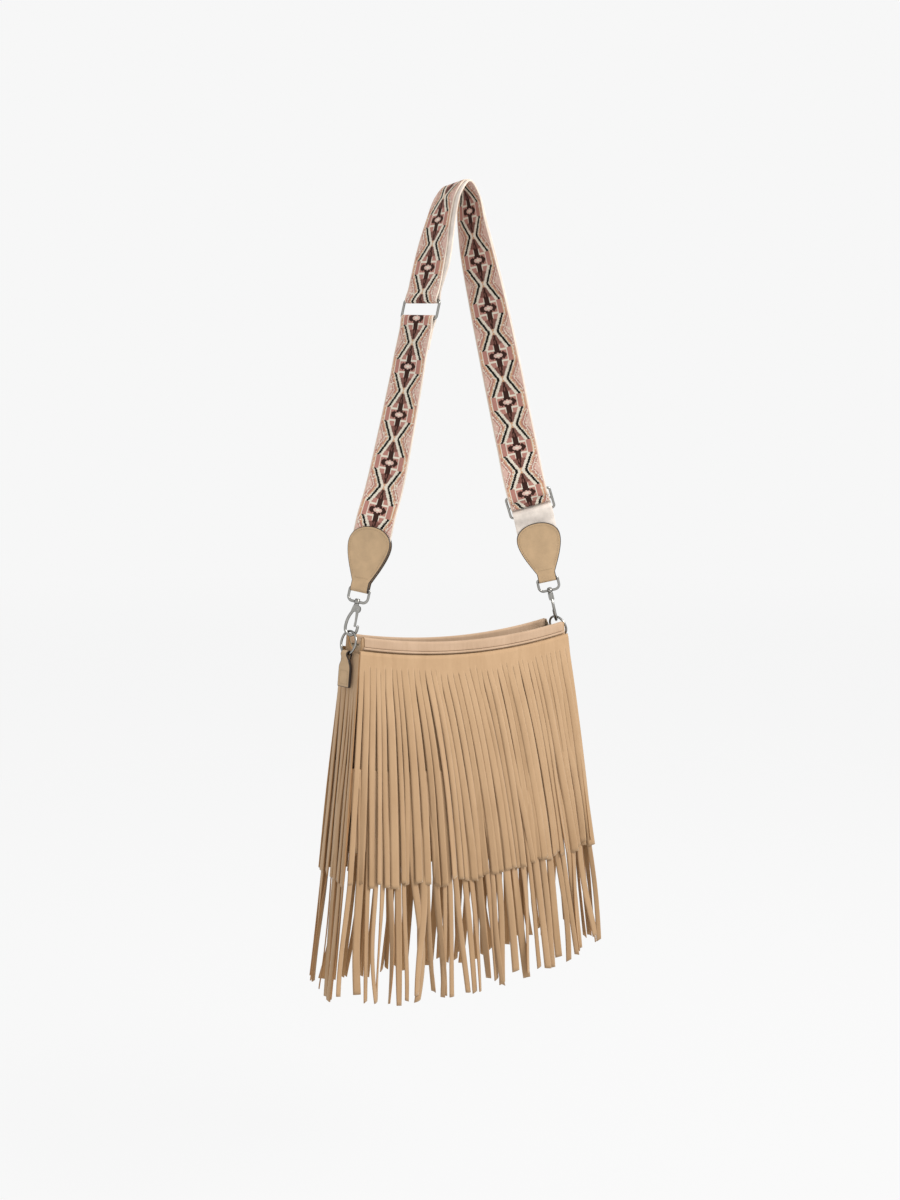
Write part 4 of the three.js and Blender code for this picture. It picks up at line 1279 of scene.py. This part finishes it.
FRAME_WIRE = 1.5
WINDOW_HALF = WEBBING_WIDTH / 2 + 1.2
ring_half, glide_half = WINDOW_HALF + 1.6, WINDOW_HALF + 1.9
ring_line = rounded_frame(ring_half, -RING_PITCH, RING_PITCH, 3.2, 3.2, 140)
shape = placed(strap_place(RING_RUN), tube(ring_line, FRAME_WIRE, FRAME_WIRE, loop=True))
metal("rectangular_ring_metal", shape, "strap", "rectangular_ring")
glide_line = rounded_frame(glide_half, -SLIDER_PITCH, SLIDER_PITCH, 3.0, 3.0, 140)
bar_line = np.linspace(-1, 1, 21)[:, None] * (glide_half, 0, 0)
glide = joined(tube(glide_line, FRAME_WIRE, SLIDER_BAR, loop=True), tube(bar_line, SLIDER_BAR))
metal("tri_glide_metal", placed(strap_place(SLIDER), glide), "strap", "tri_glide")


SEAM_RUNS = (LOWER_BAR + 27, LOWER_BAR + 31)
SEAM_HALF = 21


def webbing_seams(out, towards):
    """Two rows of stitches across the webbing."""
    rows = []
    for run in SEAM_RUNS:
        lift = out(run) + towards * (WEBBING / 2 + 0.1)
        middle, width, _, normal = (v[0] for v in on_strap(run, lift))
        ends = np.stack([middle - width * SEAM_HALF, middle + width * SEAM_HALF])
        rows.append(seam(ends, normal * towards, pitch=3.4, length=2.4, thick=0.3))
    return joined(*rows)


for name, out, towards in (("", short_tail, -1), ("front_", short_out, 1)):
    stitched = webbing_seams(out, towards)
    make(f"short_webbing_{name}stitches", stitched, "strap", "webbing", [cream_thread])

# ---- Stage, light and camera ----
FLOOR_Z = -1.32
FLOOR_RADIUS = 12
PALE = (0.93, 0.93, 0.93)
# Angles are round the bag from its front and above it, in degrees.
KEY_ANGLES, KEY_AWAY, KEY_SIZE, KEY_POWER = (30, 38), 2.6, 0.9, 62
KEY_COLOUR = (1.0, 0.985, 0.965)
BAG_MIDDLE = (0, 0, -0.5)
CAMERA_ANGLES, CAMERA_AT = (-30, 6.61), (-0.796, -1.357, -0.3075)
LENS, SENSOR = 39.0, 36.0


def pale_floor():
    """A wide disc that fades out towards its edge."""
    floor = Finish("floor")
    x, y, _ = floor.parts(floor.place)
    away = floor.maths("SQRT", x * x + y * y)
    colour = floor.mix(floor.between(away, 1.0, 6.0), (0.05, 0.05, 0.05), (0.02, 0.02, 0.02))
    material = floor.done(colour, floor.between(away, 1.0, 6.0, 0.9, 1.0), Specular_IOR_Level=0.0)
    floor.set(floor.shader.inputs["Emission Color"], PALE)
    floor.set(floor.shader.inputs["Emission Strength"], 0.95)
    floor.set(floor.shader.inputs["Alpha"], floor.between(away, 2.0, 9.0, 1.0, 0.0))
    return material


bpy.ops.mesh.primitive_circle_add(
    vertices=64, radius=FLOOR_RADIUS, fill_type="NGON", location=(0, 0, FLOOR_Z)
)
floor = bpy.context.object
floor.name = "floor"
floor.data.materials.append(pale_floor())

world = bpy.data.worlds.new("studio")
bpy.context.scene.world = world
world.use_nodes = True
backdrop = world.node_tree.nodes["Background"]
backdrop.inputs["Color"].default_value = (*PALE, 1)
backdrop.inputs["Strength"].default_value = 1.0


def backwards(azimuth, elevation):
    """The direction from the bag to whoever looks at it from an angle round it."""
    a, e = math.radians(azimuth), math.radians(elevation)
    return Vector((math.sin(a) * math.cos(e), -math.cos(a) * math.cos(e), math.sin(e)))


def stand(name, data, location, back):
    thing = bpy.data.objects.new(name, data)
    bpy.context.scene.collection.objects.link(thing)
    thing.location = location
    thing.rotation_mode = "QUATERNION"
    thing.rotation_quaternion = (-back).to_track_quat("-Z", "Y")
    return thing


key = bpy.data.lights.new("key", "AREA")
key.size, key.energy, key.color = KEY_SIZE, KEY_POWER, KEY_COLOUR
back = backwards(*KEY_ANGLES)
stand("key", key, Vector(BAG_MIDDLE) + back * KEY_AWAY, back)

lens = bpy.data.cameras.new("camera")
lens.lens, lens.sensor_width = LENS, SENSOR
camera = stand("camera", lens, CAMERA_AT, backwards(*CAMERA_ANGLES))
bpy.context.scene.camera = camera
bpy.context.scene.view_settings.view_transform = "Standard"
